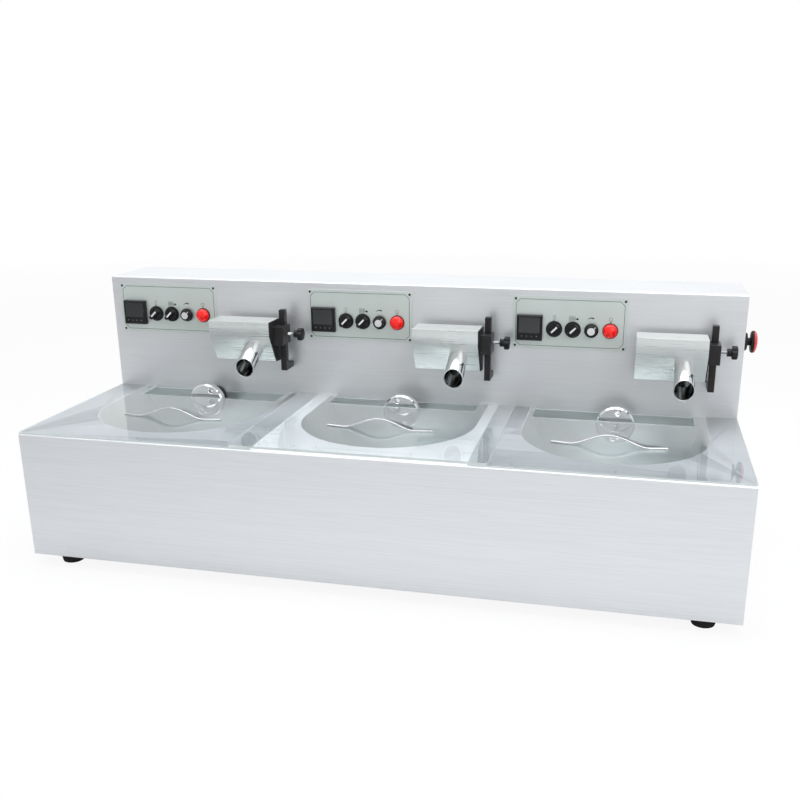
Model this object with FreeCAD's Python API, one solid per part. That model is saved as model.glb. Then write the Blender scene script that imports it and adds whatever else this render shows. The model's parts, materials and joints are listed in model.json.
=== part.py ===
import FreeCAD, Part
import math
import os

# Three-station chocolate tempering machine. Millimetres; X to the right, Y to the back, Z up.
# Every sub-part is drawn with X = 0 at the middle of the housing, Y = 0 at the front panel and
# Z = 0 at the floor, and moved once, in save(), to the shared frame.

V = FreeCAD.Vector
RIGHT = V(1, 0, 0)
OUT = V(0, -1, 0)
BACK = V(0, 1, 0)
UP = V(0, 0, 1)

# ---- housing
LENGTH = 1200.0
DECK_DEPTH = 343.0
BACK_DEPTH = 146.0
DEPTH = DECK_DEPTH + BACK_DEPTH
FOOT_H = 20.0
BASE_H = 222.0
BACK_H = 222.0
DECK_Z = FOOT_H + BASE_H
TOP_Z = DECK_Z + BACK_H
SHEET = 1.5
BEND = 3.5
FLANGE = 14.0
APRON_H = 170.0
WALL_Y = DECK_DEPTH
PITCH = 390.0
STATIONS = (-PITCH, 0.0, PITCH)

# ---- feet
FOOT_R = 21.5
FOOT_X = 545.0
FOOT_Y = 33.0
FOOT_RECESS_R = 8.0
FOOT_RECESS = 6.0
FOOT_TAPER = 3.0
FOOT_SOLE = 4.5
FOOT_LIP = 2.5
FOOT_SCREW_H = 3.0
VENT_W = 6.0
VENT_L = 90.0
VENT_PITCH = 24.0

# ---- tanks
OPEN_R = 155.0
OPEN_CENTRE_Y = 205.0
TANK_DEPTH = 132.0
TANK_KNEE = 104.0
TANK_TAPER = 33.0
TANK_FLOOR_TAPER = 62.0
TANK_LIP = 12.0
HEATER_W = 150.0
HEATER_T = 6.0

# ---- lids
LID_W = 424.0
LID_T = 3.5
LID_GAP = 0.5
LID_STACK = 0.3
LID_CORNER = 4.0
NOTCH_W = 280.0
NOTCH_D = 67.0
LID_MIDDLE_X = -5.0
LID_X = (LID_W / 2 - LENGTH / 2, LID_MIDDLE_X, LENGTH / 2 - LID_W / 2)
HANDLE_OFFSET = 6.0
HANDLE_X = (HANDLE_OFFSET - PITCH, 0.0, PITCH - HANDLE_OFFSET)
NOTCH_X = HANDLE_X
HANDLE_Y = 138.0
HANDLE_L = 187.0
HANDLE_FOOT = 33.0
HANDLE_RISE = 19.0
HANDLE_W = 16.0
HANDLE_WAIST = 9.0
HANDLE_TIP = 6.0
HANDLE_T = 3.0
ARCH_POWER = 0.8
ARCH_STEPS = 16
PLAN_STEPS = 5
LID_SCREW_R = 3.6
LID_SCREW_SINK = 2.0
LID_SHANK_R = 1.6
LID_SCREW_BITE = 2.0
LID_SCREW_FIT = 0.05

# ---- wheel hub and drive
HUB_SINK = 8.0
HUB_Z = DECK_Z - HUB_SINK
HUB_R = 34.0
HUB_T = 14.0
HUB_CHAMFER = 2.2
HUB_REACH = 56.0
HUB_BOSS_R = 14.0
HUB_PCD = 49.0
HUB_HOLE_R = 5.0
HUB_HOLE_DEPTH = 10.0
HUB_TURN = (-27.0, 16.0, -7.0)
SHAFT_R = 10.0
SHAFT_CLEAR = 0.05
BEARING_R = 18.0
BEARING_T = 4.0
BEARING_NECK_R = 14.0
GEARBOX = (84.0, 68.0, 92.0)
MOTOR_R = 33.0
MOTOR_L = 85.0
SHAFT_IN = 52.0

# ---- control plates and controls
PLATE_W = 203.0
PLATE_H = 95.0
PLATE_T = 1.2
PLATE_LEFT = -193.0
PLATE_UP = 114.0
PLATE_Z = DECK_Z + PLATE_UP
PLATE_SCREW_INSET = 4.8
PLATE_SCREW_R = 2.2
PLATE_SCREW_H = 1.1
PLATE_MARGIN = 8.0
CONTROL_UP = 37.0
CONTROL_Z = PLATE_Z + CONTROL_UP
CONTROLLER_X = 31.0
CONTROLLER_LIFT = 1.5
CONTROLLER_Z = CONTROL_Z + CONTROLLER_LIFT
CONTROLLER = 46.0
CONTROLLER_BODY = 44.0
CONTROLLER_REACH = 9.0
CONTROLLER_DEPTH = 70.0
CONTROLLER_BEVEL = 2.0
WINDOW_W = 38.0
WINDOW_LOW = 9.0
WINDOW_HIGH = 19.5
WINDOW_Z = (CONTROLLER_Z - WINDOW_LOW, CONTROLLER_Z + WINDOW_HIGH)
WINDOW_DEPTH = 1.2
KEY_COUNT = 4
KEY_PITCH = 9.0
KEY_W = 6.4
KEY_H = 5.5
KEY_DROP = 17.5
KEY_Z = (CONTROLLER_Z - KEY_DROP, CONTROLLER_Z - KEY_DROP + KEY_H)
KEY_RISE = 0.5
PANEL_FIT = 0.1
HEAT_X = 75.0
MOTOR_X = 108.0
SPEED_X = 141.0
LAMP_X = 174.0
SWITCH_OFFSETS = (HEAT_X, MOTOR_X, SPEED_X, LAMP_X)
BEZEL_R = 14.5
BEZEL_T = 3.4
CONTACT_BLOCK = (29.0, 34.0, 40.0)
SELECTOR_R = 12.2
SELECTOR_T = 4.5
SELECTOR_BEVEL = 1.5
GRIP_W = 8.0
GRIP_H = 13.0
GRIP_WAIST = 0.8
GRIP_TIP = 2.0
SELECTOR_TILT = -45.0
STEM_R = 4.0
RUN_CLEAR = 0.05
REST_GAP = 0.4
SPEED_R = 12.5
SPEED_H = 14.5
SPEED_CAP_R = 6.8
SPEED_DISH = 0.6
SPEED_TAPER = 3.3
SPEED_SKIRT = 3.0
SPEED_STEM_R = 3.0
SPEED_BUSH_WALL = 4.0
SPEED_NUT_T = 2.4
LAMP_R = 14.0
LAMP_RIM = 1.5
LAMP_H = 12.0
DOME_STEPS = 3

# ---- emergency stop
STOP_BACK = 70.0
STOP_UP = 128.0
STOP_Y = WALL_Y + STOP_BACK
STOP_Z = DECK_Z + STOP_UP
STOP_COLLAR_R = 18.0
STOP_COLLAR_T = 11.0
STOP_COLLAR_TAPER = (3.0, 6.0)
STOP_HEAD_R = 20.0
STOP_HEAD_T = 12.0
STOP_STEM_R = 7.0
STOP_SPIGOT_R = 4.0
STOP_TRAVEL = 5.0
STOP_SPARE = 1.0
STOP_REACH = STOP_COLLAR_T + STOP_TRAVEL + STOP_SPARE + STOP_HEAD_T

# ---- scraper, spout and clamp: depths are out from the wall, heights are above the deck
SCRAPER_X0 = 27.0
SCRAPER_X1 = 148.0
SCRAPER_SHEET = 1.5
SCRAPER_BACK = 24.0
SCRAPER_KNEE = 49.0
SCRAPER_FRONT = 77.0
SCRAPER_FLOOR = 76.0
SCRAPER_FALL = 2.0
SCRAPER_BREAK = 129.0
SCRAPER_TOP = 156.0
SCRAPER_PROFILE = (
    (SCRAPER_BACK, DECK_Z + SCRAPER_FLOOR),
    (SCRAPER_KNEE, DECK_Z + SCRAPER_FLOOR + SCRAPER_FALL),
    (SCRAPER_FRONT, DECK_Z + SCRAPER_BREAK),
    (SCRAPER_FRONT, DECK_Z + SCRAPER_TOP),
    (SCRAPER_BACK, DECK_Z + SCRAPER_TOP),
)
SPOUT_X = 109.0
SPOUT_R = 17.5
SPOUT_WALL = 1.5
SPOUT_L = 55.0
SPOUT_CUT = -22.0
BAR_X = 157.5
BAR_W = 11.0
BAR_D = 14.0
BAR_OUT = 25.0
BAR_UP = 58.0
BAR_L = 116.0
BAR_Z0 = DECK_Z + BAR_UP
BAR_Z1 = BAR_Z0 + BAR_L
BAR_FOOT = 11.0
BAR_ROUND = 1.5
CLAMP_FIT = 0.1
CLAMP_UP = 53.0
CLAMP_Z0 = BAR_Z0 + CLAMP_UP
CLAMP_H = 34.0
CLAMP_CORNER = 2.0
CLAMP_W = 19.0
CLAMP_BACK = 5.0
CLAMP_FRONT = 62.0
CLAMP_PLATE_T = 2.0
THUMB_Z = CLAMP_Z0 + CLAMP_H / 2
THUMB_R = 3.0
THUMB_NECK_R = 7.0
THUMB_NECK_L = 8.0
THUMB_HEAD_R = 12.0
THUMB_HEAD_L = 10.0
THUMB_STANDOFF = 12.0
THUMB_LOBES = 6
THUMB_FLUTE = 1.8

# ---- rear panel
PANEL_SCREW_R = 4.0
PANEL_SCREW_H = 2.0
LOUVRE_W = 90.0
LOUVRE_H = 9.0
LOUVRE_OUT = 4.0
LOUVRE_PITCH = 20.0
LOUVRE_UP = 60.0
LOUVRE_WALL = 1.0
LOUVRE_COUNT = 5
LOUVRE_FACETS = 4
GLAND_INSET = 120.0
GLAND_X = LENGTH / 2 - GLAND_INSET
GLAND_UP = 60.0
GLAND_Z = FOOT_H + GLAND_UP
GLAND_REACH = 24.0
GLAND_HEX_R = 14.0
GLAND_BORE_R = 4.5
GLAND_THREAD_R = 9.0
GLAND_DEPTH = 9.5
GLAND_HEX_T = 8.0
GLAND_DOME_R = 11.5
GLAND_DOME_L = 16.0
GLAND_NOSE_R = 8.0
GLAND_CLEAR = 0.1

SHIFT = V(-STOP_REACH / 2, -(DEPTH + GLAND_REACH) / 2, 0)


# ---- drawing helpers

def save(name, shapes):
    """Move a node to the shared frame and write it."""
    whole = shapes if isinstance(shapes, Part.Shape) else Part.makeCompound(shapes)
    moved = whole.copy()
    moved.translate(SHIFT)
    moved.exportStep("parts/" + name + ".step")


def block(x0, x1, y0, y1, z0, z1):
    return Part.makeBox(x1 - x0, y1 - y0, z1 - z0, V(x0, y0, z0))


def rod(radius, start, direction, length):
    return Part.makeCylinder(radius, length, start, direction)


def turned(profile, start, direction):
    """Revolve a closed (radius, height) outline about an axis through start."""
    points = [V(r, 0, h) for r, h in profile]
    solid = Part.Face(Part.makePolygon(points + points[:1])).revolve(V(), UP, 360)
    solid.Placement = FreeCAD.Placement(start, FreeCAD.Rotation(UP, direction))
    return solid


def along_x(outline, x0, x1):
    """Extrude a (y, z) outline from x0 to x1."""
    points = [V(x0, y, z) for y, z in outline]
    return Part.Face(Part.makePolygon(points + points[:1])).extrude(V(x1 - x0, 0, 0))


def along_y(outline, y0, y1):
    """Extrude an (x, z) outline from y0 to y1."""
    points = [V(x, y0, z) for x, z in outline]
    return Part.Face(Part.makePolygon(points + points[:1])).extrude(V(0, y1 - y0, 0))


def hex_head(radius, start, direction, length):
    """A six-sided screw head standing on a face."""
    ring = [V(radius * math.cos(k * math.pi / 3), radius * math.sin(k * math.pi / 3), 0) for k in range(7)]
    head = Part.Face(Part.makePolygon(ring)).extrude(UP * length)
    head.Placement = FreeCAD.Placement(start, FreeCAD.Rotation(UP, direction))
    return head


def round_edges(solid, radius, wanted):
    return solid.makeFillet(radius, [edge for edge in solid.Edges if wanted(edge.BoundBox)])


def near(a, b):
    return abs(a - b) < 0.01


def upright(box):
    return box.ZLength > 0.5 and box.XLength < 0.01 and box.YLength < 0.01


def lobed_grip(radius, depth, lobes, centre, direction, length):
    """A cylinder with rounded flutes cut round its rim."""
    grip = rod(radius, centre, direction, length)
    for k in range(lobes):
        spoke = FreeCAD.Rotation(direction, 360.0 * (k + 0.5) / lobes).multVec(UP)
        grip = grip.cut(rod(depth * 2, centre + spoke * (radius + depth), direction, length))
    return grip


# ---- housing

def tank_outline(inset, z, back):
    """The opening outline, pulled in by inset: straight sides, then a half circle at the front."""
    r = OPEN_R - inset
    cy = OPEN_CENTRE_Y
    left, right = V(-r, back, z), V(r, back, z)
    arc_left, arc_right = V(-r, cy, z), V(r, cy, z)
    return Part.Wire([
        Part.makeLine(left, arc_left),
        Part.Arc(arc_left, V(0, cy - r, z), arc_right).toShape(),
        Part.makeLine(arc_right, right),
        Part.makeLine(right, left),
    ])


def opening(inset, z0, z1, back):
    return Part.Face(tank_outline(inset, z0, back)).extrude(V(0, 0, z1 - z0))


def at(x, shape):
    moved = shape.copy()
    moved.translate(V(x, 0, 0))
    return moved


def base_shell():
    half = LENGTH / 2
    outer = block(-half, half, 0, DEPTH, FOOT_H, DECK_Z)
    outer = round_edges(outer, BEND, lambda b: near(b.YMax, 0) and b.XLength > 1 and near(b.ZMin, DECK_Z))
    inner = block(-half + SHEET, half - SHEET, SHEET, DEPTH, FOOT_H, DECK_Z - SHEET)
    inner = round_edges(
        inner,
        BEND - SHEET,
        lambda b: near(b.YMax, SHEET) and b.XLength > 1 and near(b.ZMin, DECK_Z - SHEET),
    )
    shell = outer.cut(inner)
    well = block(-half + SHEET, half - SHEET, WALL_Y, DEPTH, DECK_Z - SHEET, DECK_Z)
    shell = shell.cut(well)
    for x in STATIONS:
        shell = shell.cut(at(x, opening(0, DECK_Z - SHEET - 1, DECK_Z + 1, WALL_Y)))
    for side in (-1, 1):
        edge = side * (half - SHEET)
        x0, x1 = sorted((edge, edge - side * FLANGE))
        shell = shell.fuse(block(x0, x1, DEPTH - 2 * SHEET, DEPTH - SHEET, FOOT_H + SHEET, DECK_Z))
    return shell.removeSplitter()


def base_plate():
    """The floor of the housing, with a row of vent slots under each tank."""
    half = LENGTH / 2 - SHEET
    plate = block(-half, half, SHEET, DEPTH - SHEET, FOOT_H, FOOT_H + SHEET)
    for x in STATIONS:
        for k in range(-2, 3):
            left = x + k * VENT_PITCH - VENT_W / 2
            near_end = OPEN_CENTRE_Y - VENT_L / 2
            plate = plate.cut(block(left, left + VENT_W, near_end, near_end + VENT_L, FOOT_H - 1, DECK_Z))
    return plate


def foot_centres():
    return [(x, y) for x in (-FOOT_X, FOOT_X) for y in (FOOT_Y, DEPTH - FOOT_Y)]


def rubber_foot(x, y):
    profile = [
        (0, FOOT_H),
        (FOOT_R, FOOT_H),
        (FOOT_R - FOOT_TAPER, FOOT_LIP),
        (FOOT_R - FOOT_SOLE, 0),
        (FOOT_RECESS_R, 0),
        (FOOT_RECESS_R, FOOT_RECESS),
        (0, FOOT_RECESS),
    ]
    return turned(profile, V(x, y, 0), UP)


def foot_screw(x, y):
    return hex_head(FOOT_RECESS_R - 2, V(x, y, FOOT_RECESS - FOOT_SCREW_H), UP, FOOT_SCREW_H)


def back_shell():
    half = LENGTH / 2
    outer = block(-half, half, WALL_Y, DEPTH, DECK_Z, TOP_Z)
    outer = round_edges(outer, BEND, lambda b: near(b.YMax, WALL_Y) and b.XLength > 1 and near(b.ZMin, TOP_Z))
    inner = block(-half + SHEET, half - SHEET, WALL_Y + SHEET, DEPTH, DECK_Z, TOP_Z - SHEET)
    inner = round_edges(
        inner,
        BEND - SHEET,
        lambda b: near(b.YMax, WALL_Y + SHEET) and b.XLength > 1 and near(b.ZMin, TOP_Z - SHEET),
    )
    apron = block(-half + SHEET, half - SHEET, WALL_Y, WALL_Y + SHEET, DECK_Z - APRON_H, DECK_Z)
    shell = outer.cut(inner).fuse(apron)
    for side in (-1, 1):
        edge = side * (half - SHEET)
        x0, x1 = sorted((edge, edge - side * FLANGE))
        shell = shell.fuse(block(x0, x1, DEPTH - 2 * SHEET, DEPTH - SHEET, DECK_Z, TOP_Z - SHEET))
    shell = shell.fuse(
        block(-half + SHEET, half - SHEET, DEPTH - 2 * SHEET, DEPTH - SHEET, TOP_Z - SHEET - FLANGE, TOP_Z - SHEET)
    )
    for x in STATIONS:
        shell = shell.cut(rod(BEARING_NECK_R, V(x, WALL_Y - 1, HUB_Z), BACK, SHEET + 2))
        shell = shell.cut(plate_window(x))
    return shell.removeSplitter()


def pan_form(wall, back):
    """The tank's form, grown by wall: a half turn of its profile at the nose, run straight to the back."""
    profile = [
        (0, DECK_Z - SHEET),
        (OPEN_R + wall, DECK_Z - SHEET),
        (OPEN_R - TANK_TAPER + wall, DECK_Z - TANK_KNEE),
        (OPEN_R - TANK_FLOOR_TAPER + wall, DECK_Z - TANK_DEPTH - wall),
        (0, DECK_Z - TANK_DEPTH - wall),
    ]
    points = [V(r, OPEN_CENTRE_Y, z) for r, z in profile]
    half_face = Part.Face(Part.makePolygon(points + points[:1]))
    nose = half_face.revolve(V(0, OPEN_CENTRE_Y, 0), UP, -180)
    outline = profile[1:-1] + [(-r, z) for r, z in profile[-2:0:-1]]
    return nose.fuse(along_y(outline, OPEN_CENTRE_Y, back)).removeSplitter()


def tank(x):
    """A pan that narrows as it deepens, hung from a lip under the deck, with a flat back at the wall."""
    top = DECK_Z - SHEET
    lip = opening(-TANK_LIP, top - SHEET, top, WALL_Y)
    back = block(-OPEN_R, OPEN_R, WALL_Y - SHEET, WALL_Y, top, DECK_Z)
    pan = pan_form(SHEET, WALL_Y).fuse(lip).cut(pan_form(0, WALL_Y - SHEET)).fuse(back)
    pan = pan.cut(rod(BEARING_NECK_R, V(0, WALL_Y - SHEET - 1, HUB_Z), BACK, SHEET + 2))
    return at(x, pan.removeSplitter())


def tank_heater(x):
    """A flat heating mat under the floor of the tank."""
    top = DECK_Z - TANK_DEPTH - SHEET
    half = HEATER_W / 2
    centre = OPEN_CENTRE_Y + HEATER_T
    return block(x - half, x + half, centre - half / 2, centre + half, top - HEATER_T, top)


def louvre(x, z):
    """One pressed louvre: a half-round hood over a slot, open along its lower edge."""
    ends = (x - LOUVRE_W / 2, x + LOUVRE_W / 2)
    outer = []
    inner = []
    for k in range(LOUVRE_FACETS + 1):
        angle = math.radians(90 * k / LOUVRE_FACETS)
        outer.append((DEPTH + LOUVRE_OUT * math.sin(angle), z + LOUVRE_H * math.cos(angle)))
        inner.append((DEPTH + (LOUVRE_OUT - LOUVRE_WALL) * math.sin(angle), z + (LOUVRE_H - LOUVRE_WALL) * math.cos(angle)))
    hood = along_x(outer + [(DEPTH, z)], *ends)
    return hood.cut(along_x(inner + [(DEPTH, z)], ends[0] + LOUVRE_WALL, ends[1] - LOUVRE_WALL))


def louvre_rows():
    return [DECK_Z + LOUVRE_UP + LOUVRE_PITCH * k for k in range(LOUVRE_COUNT)]


def rear_panel():
    half = LENGTH / 2 - SHEET
    panel = block(-half, half, DEPTH - SHEET, DEPTH, FOOT_H, TOP_Z - SHEET)
    hoods = []
    for x in STATIONS:
        for z in louvre_rows():
            w = LOUVRE_W / 2 - 1
            panel = panel.cut(block(x - w, x + w, DEPTH - SHEET - 1, DEPTH + 1, z, z + LOUVRE_H - 1))
            hoods.append(louvre(x, z))
    panel = panel.cut(rod(GLAND_THREAD_R + GLAND_CLEAR, V(GLAND_X, DEPTH - SHEET - 1, GLAND_Z), BACK, SHEET + 2))
    return panel.multiFuse(hoods)


def panel_screw_centres():
    edge = LENGTH / 2 - SHEET - FLANGE / 2
    rows = (FOOT_H + 40, DECK_Z - 40, DECK_Z + 60, TOP_Z - 40)
    sides = [(side * edge, z) for side in (-1, 1) for z in rows]
    return sides + [(x, TOP_Z - SHEET - FLANGE / 2) for x in (-PITCH, 0, PITCH)]


def panel_screw(x, z):
    return hex_head(PANEL_SCREW_R, V(x, DEPTH, z), BACK, PANEL_SCREW_H)


def cable_gland():
    """A hexagon nut against the panel, a tapered dome and the threaded neck that passes inside."""
    start = V(GLAND_X, DEPTH, GLAND_Z)
    hexagon = []
    for k in range(6):
        angle = math.radians(60 * k)
        hexagon.append((GLAND_X + GLAND_HEX_R * math.cos(angle), GLAND_Z + GLAND_HEX_R * math.sin(angle)))
    body = along_y(hexagon, DEPTH, DEPTH + GLAND_HEX_T)
    profile = [
        (0, GLAND_HEX_T),
        (GLAND_DOME_R, GLAND_HEX_T),
        (GLAND_DOME_R, GLAND_DOME_L),
        (GLAND_NOSE_R, GLAND_REACH),
        (0, GLAND_REACH),
    ]
    dome = turned(profile, start, BACK)
    thread = rod(GLAND_THREAD_R, start - BACK * GLAND_DEPTH, BACK, GLAND_DEPTH)
    whole = body.fuse(dome).fuse(thread)
    return whole.cut(rod(GLAND_BORE_R, start - BACK * GLAND_DEPTH, BACK, GLAND_DEPTH + GLAND_REACH))


# ---- lids

def lid_floor(index):
    return DECK_Z if index != 1 else DECK_Z + LID_T + LID_STACK


def lid(index):
    x = LID_X[index]
    z = lid_floor(index)
    plate = block(x - LID_W / 2, x + LID_W / 2, 0, WALL_Y - LID_GAP, z, z + LID_T)
    plate = round_edges(plate, LID_CORNER, upright)
    notch_x = NOTCH_X[index]
    front = WALL_Y - NOTCH_D
    notch = block(notch_x - NOTCH_W / 2, notch_x + NOTCH_W / 2, front, WALL_Y + 9, z - 1, z + LID_T + 1)
    notch = round_edges(notch, LID_CORNER, lambda b: upright(b) and near(b.YMin, front))
    plate = plate.cut(notch)
    for screw_x in handle_screw_x(index):
        plate = plate.cut(lid_screw(index, screw_x, LID_SCREW_FIT))
    return plate


def handle_screw_x(index):
    reach = HANDLE_L / 2 - HANDLE_FOOT / 2
    return (HANDLE_X[index] - reach, HANDLE_X[index] + reach)


def handle_plan():
    """One quarter of the handle seen from above: (x, half width) from the middle to the tip."""
    shoulder = HANDLE_L / 2 - HANDLE_FOOT
    waist, wide, tip = HANDLE_WAIST / 2, HANDLE_W / 2, HANDLE_TIP / 2
    steps = [k / PLAN_STEPS for k in range(PLAN_STEPS + 1)]
    inner = [(s * shoulder, waist + (wide - waist) * (1 - math.cos(math.pi * s)) / 2) for s in steps]
    outer = [(shoulder + s * HANDLE_FOOT, wide + (tip - wide) * (1 - math.cos(math.pi * s)) / 2) for s in steps]
    return inner + outer[1:]


def lid_handle(index):
    """A bowed strip, narrow in the middle, that widens to its two feet and tapers to the tips."""
    z = lid_floor(index) + LID_T
    half = HANDLE_L / 2
    span = half - HANDLE_FOOT
    lower = [(-half, 0.0)]
    for k in range(ARCH_STEPS + 1):
        s = -1 + 2 * k / ARCH_STEPS
        lower.append((s * span, (HANDLE_RISE - HANDLE_T) * ((1 + math.cos(math.pi * s)) / 2) ** ARCH_POWER))
    lower.append((half, 0.0))
    upper = []
    for k, (px, pz) in enumerate(lower):
        before = lower[max(k - 1, 0)]
        after = lower[min(k + 1, len(lower) - 1)]
        dx, dz = after[0] - before[0], after[1] - before[1]
        size = math.hypot(dx, dz)
        upper.append((px - dz / size * HANDLE_T, pz + dx / size * HANDLE_T))
    upper[0] = (-half, HANDLE_T)
    upper[-1] = (half, HANDLE_T)
    outline = [(HANDLE_X[index] + px, z + pz) for px, pz in lower + upper[::-1]]
    strip = along_y(outline, HANDLE_Y - HANDLE_W / 2, HANDLE_Y + HANDLE_W / 2)
    plan = handle_plan()
    side = [(px, py) for px, py in plan[::-1]] + [(-px, py) for px, py in plan[1:]]
    ring = [(px, py) for px, py in side] + [(px, -py) for px, py in side[::-1]]
    points = [V(HANDLE_X[index] + px, HANDLE_Y + py, z) for px, py in ring]
    strip = strip.common(Part.Face(Part.makePolygon(points + points[:1])).extrude(UP * 2 * HANDLE_RISE))
    for screw_x in handle_screw_x(index):
        strip = strip.cut(lid_screw(index, screw_x, LID_SCREW_FIT))
    return strip


def lid_screw(index, x, fit=0.0):
    """A countersunk screw, flush with the lid's underside, that bites into the handle's foot."""
    profile = [
        (0, 0),
        (LID_SCREW_R + fit, 0),
        (LID_SHANK_R + fit, LID_SCREW_SINK),
        (LID_SHANK_R + fit, LID_T + LID_SCREW_BITE),
        (0, LID_T + LID_SCREW_BITE),
    ]
    return turned(profile, V(x, HANDLE_Y, lid_floor(index)), UP)


# ---- wheel hub and drive

def wheel_hub(index):
    x = STATIONS[index]
    face = V(x, WALL_Y - HUB_REACH, HUB_Z)
    profile = [
        (0, 0),
        (HUB_R - HUB_CHAMFER, 0),
        (HUB_R, HUB_CHAMFER),
        (HUB_R, HUB_T),
        (HUB_BOSS_R, HUB_T),
        (HUB_BOSS_R, HUB_REACH - SHEET - BEARING_T - REST_GAP),
        (SHAFT_R, HUB_REACH - SHEET - BEARING_T - REST_GAP),
        (SHAFT_R, HUB_REACH + SHAFT_IN),
        (0, HUB_REACH + SHAFT_IN),
    ]
    hub = turned(profile, face, BACK)
    for px, pz in hub_hole_centres(index):
        hub = hub.cut(rod(HUB_HOLE_R, V(px, WALL_Y - HUB_REACH, pz), BACK, HUB_HOLE_DEPTH))
    return hub


def hub_hole_centres(index):
    turn = math.radians(90 + HUB_TURN[index])
    r = HUB_PCD / 2
    step = (r * math.cos(turn), r * math.sin(turn))
    x = STATIONS[index]
    return [(x + step[0], HUB_Z + step[1]), (x - step[0], HUB_Z - step[1])]


def shaft_bearing(x):
    front = WALL_Y - SHEET - BEARING_T
    profile = [
        (SHAFT_R + SHAFT_CLEAR, 0),
        (BEARING_R, 0),
        (BEARING_R, BEARING_T),
        (BEARING_NECK_R, BEARING_T),
        (BEARING_NECK_R, BEARING_T + 2 * SHEET),
        (SHAFT_R + SHAFT_CLEAR, BEARING_T + 2 * SHEET),
    ]
    return turned(profile, V(x, front, HUB_Z), BACK)


def gearmotor(x):
    w, d, h = GEARBOX
    y0 = WALL_Y + SHEET
    z0 = HUB_Z - h / 2
    box = block(x - w / 2, x + w / 2, y0, y0 + d, z0, z0 + h)
    motor = rod(MOTOR_R, V(x, y0 + d - MOTOR_R, z0 + h), UP, MOTOR_L)
    return box.fuse(motor).cut(rod(SHAFT_R + SHAFT_CLEAR, V(x, y0, HUB_Z), BACK, SHAFT_IN + 1))


# ---- control plates and controls

def plate_window(x):
    """The opening in the wall behind a control plate."""
    m = PLATE_MARGIN
    left = x + PLATE_LEFT
    return block(left + m, left + PLATE_W - m, WALL_Y - 1, WALL_Y + 5, PLATE_Z + m, PLATE_Z + PLATE_H - m)


def plate_screw_centres(x):
    inset = PLATE_SCREW_INSET
    xs = (x + PLATE_LEFT + inset, x + PLATE_LEFT + PLATE_W - inset)
    return [(sx, sz) for sx in xs for sz in (PLATE_Z + inset, PLATE_Z + PLATE_H - inset)]


def control_plate(x):
    front = WALL_Y - PLATE_T
    left = x + PLATE_LEFT
    plate = block(left, left + PLATE_W, front, WALL_Y, PLATE_Z, PLATE_Z + PLATE_H)
    half = CONTROLLER_BODY / 2
    cx = left + CONTROLLER_X
    return plate.cut(block(cx - half, cx + half, front, WALL_Y, CONTROLLER_Z - half, CONTROLLER_Z + half))


def plate_screw(x, z):
    return hex_head(PLATE_SCREW_R, V(x, WALL_Y - PLATE_T, z), OUT, PLATE_SCREW_H)


def controller(x):
    """A panel controller: bevelled bezel, sunk window, a row of film keys and a body behind the wall."""
    cx = x + PLATE_LEFT + CONTROLLER_X
    front = WALL_Y - PLATE_T
    face = front - CONTROLLER_REACH
    half = CONTROLLER / 2
    rim = CONTROLLER_BODY / 2 - PANEL_FIT
    low, high = CONTROLLER_Z - rim, CONTROLLER_Z + rim
    bezel = block(cx - half, cx + half, face, front, CONTROLLER_Z - half, CONTROLLER_Z + half)
    bezel = bezel.makeChamfer(CONTROLLER_BEVEL, [e for e in bezel.Edges if near(e.BoundBox.YMax, face)])
    sunk = face + WINDOW_DEPTH
    bezel = bezel.cut(block(cx - WINDOW_W / 2, cx + WINDOW_W / 2, face - 1, sunk, *WINDOW_Z))
    for k in range(KEY_COUNT):
        kx = cx + KEY_PITCH * (k - (KEY_COUNT - 1) / 2)
        bezel = bezel.fuse(block(kx - KEY_W / 2, kx + KEY_W / 2, face - KEY_RISE, face, *KEY_Z))
    return bezel.fuse(block(cx - rim, cx + rim, front, front + CONTROLLER_DEPTH, low, high))


def control_centre(x, offset):
    return V(x + PLATE_LEFT + offset, WALL_Y - PLATE_T, CONTROL_Z)


def selector_bezel(x, offset):
    """The fixed ring of a switch, with the bore that the dial's stem turns in."""
    bore = STEM_R + RUN_CLEAR
    profile = [(bore, BEZEL_T), (BEZEL_R, BEZEL_T), (BEZEL_R, 0), (bore, 0)]
    return turned(profile, control_centre(x, offset), OUT)


def selector(x, offset):
    """A two-position switch: low dial, waisted grip bar across it and a stem into the bezel."""
    front = control_centre(x, offset)
    base = BEZEL_T + REST_GAP
    top = base + SELECTOR_T
    profile = [
        (0, top),
        (SELECTOR_R - SELECTOR_BEVEL, top),
        (SELECTOR_R, top - SELECTOR_BEVEL),
        (SELECTOR_R, base),
        (STEM_R, base),
        (STEM_R, REST_GAP),
        (0, REST_GAP),
    ]
    half, end = GRIP_W / 2, SELECTOR_R - GRIP_WAIST
    quarter = [(half - GRIP_WAIST, 0), (half, end - GRIP_TIP), (half - GRIP_TIP, end)]
    outline = quarter + [(-px, pz) for px, pz in quarter[::-1]]
    outline += [(-px, -pz) for px, pz in quarter[1:]] + [(px, -pz) for px, pz in quarter[:0:-1]]
    outline = [(front.x + px, front.z + pz) for px, pz in outline]
    grip = along_y(outline, front.y - base - GRIP_H, front.y - base)
    whole = turned(profile, front, OUT).fuse(grip)
    whole.rotate(front, OUT, SELECTOR_TILT)
    return whole


def speed_bush(x):
    """The nut of the speed control, with the bore that the knob's stem turns in."""
    bore = SPEED_STEM_R + RUN_CLEAR
    outer = SPEED_STEM_R + SPEED_BUSH_WALL
    profile = [(bore, SPEED_NUT_T), (outer, SPEED_NUT_T), (outer, 0), (bore, 0)]
    return turned(profile, control_centre(x, SPEED_X), OUT)


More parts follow.
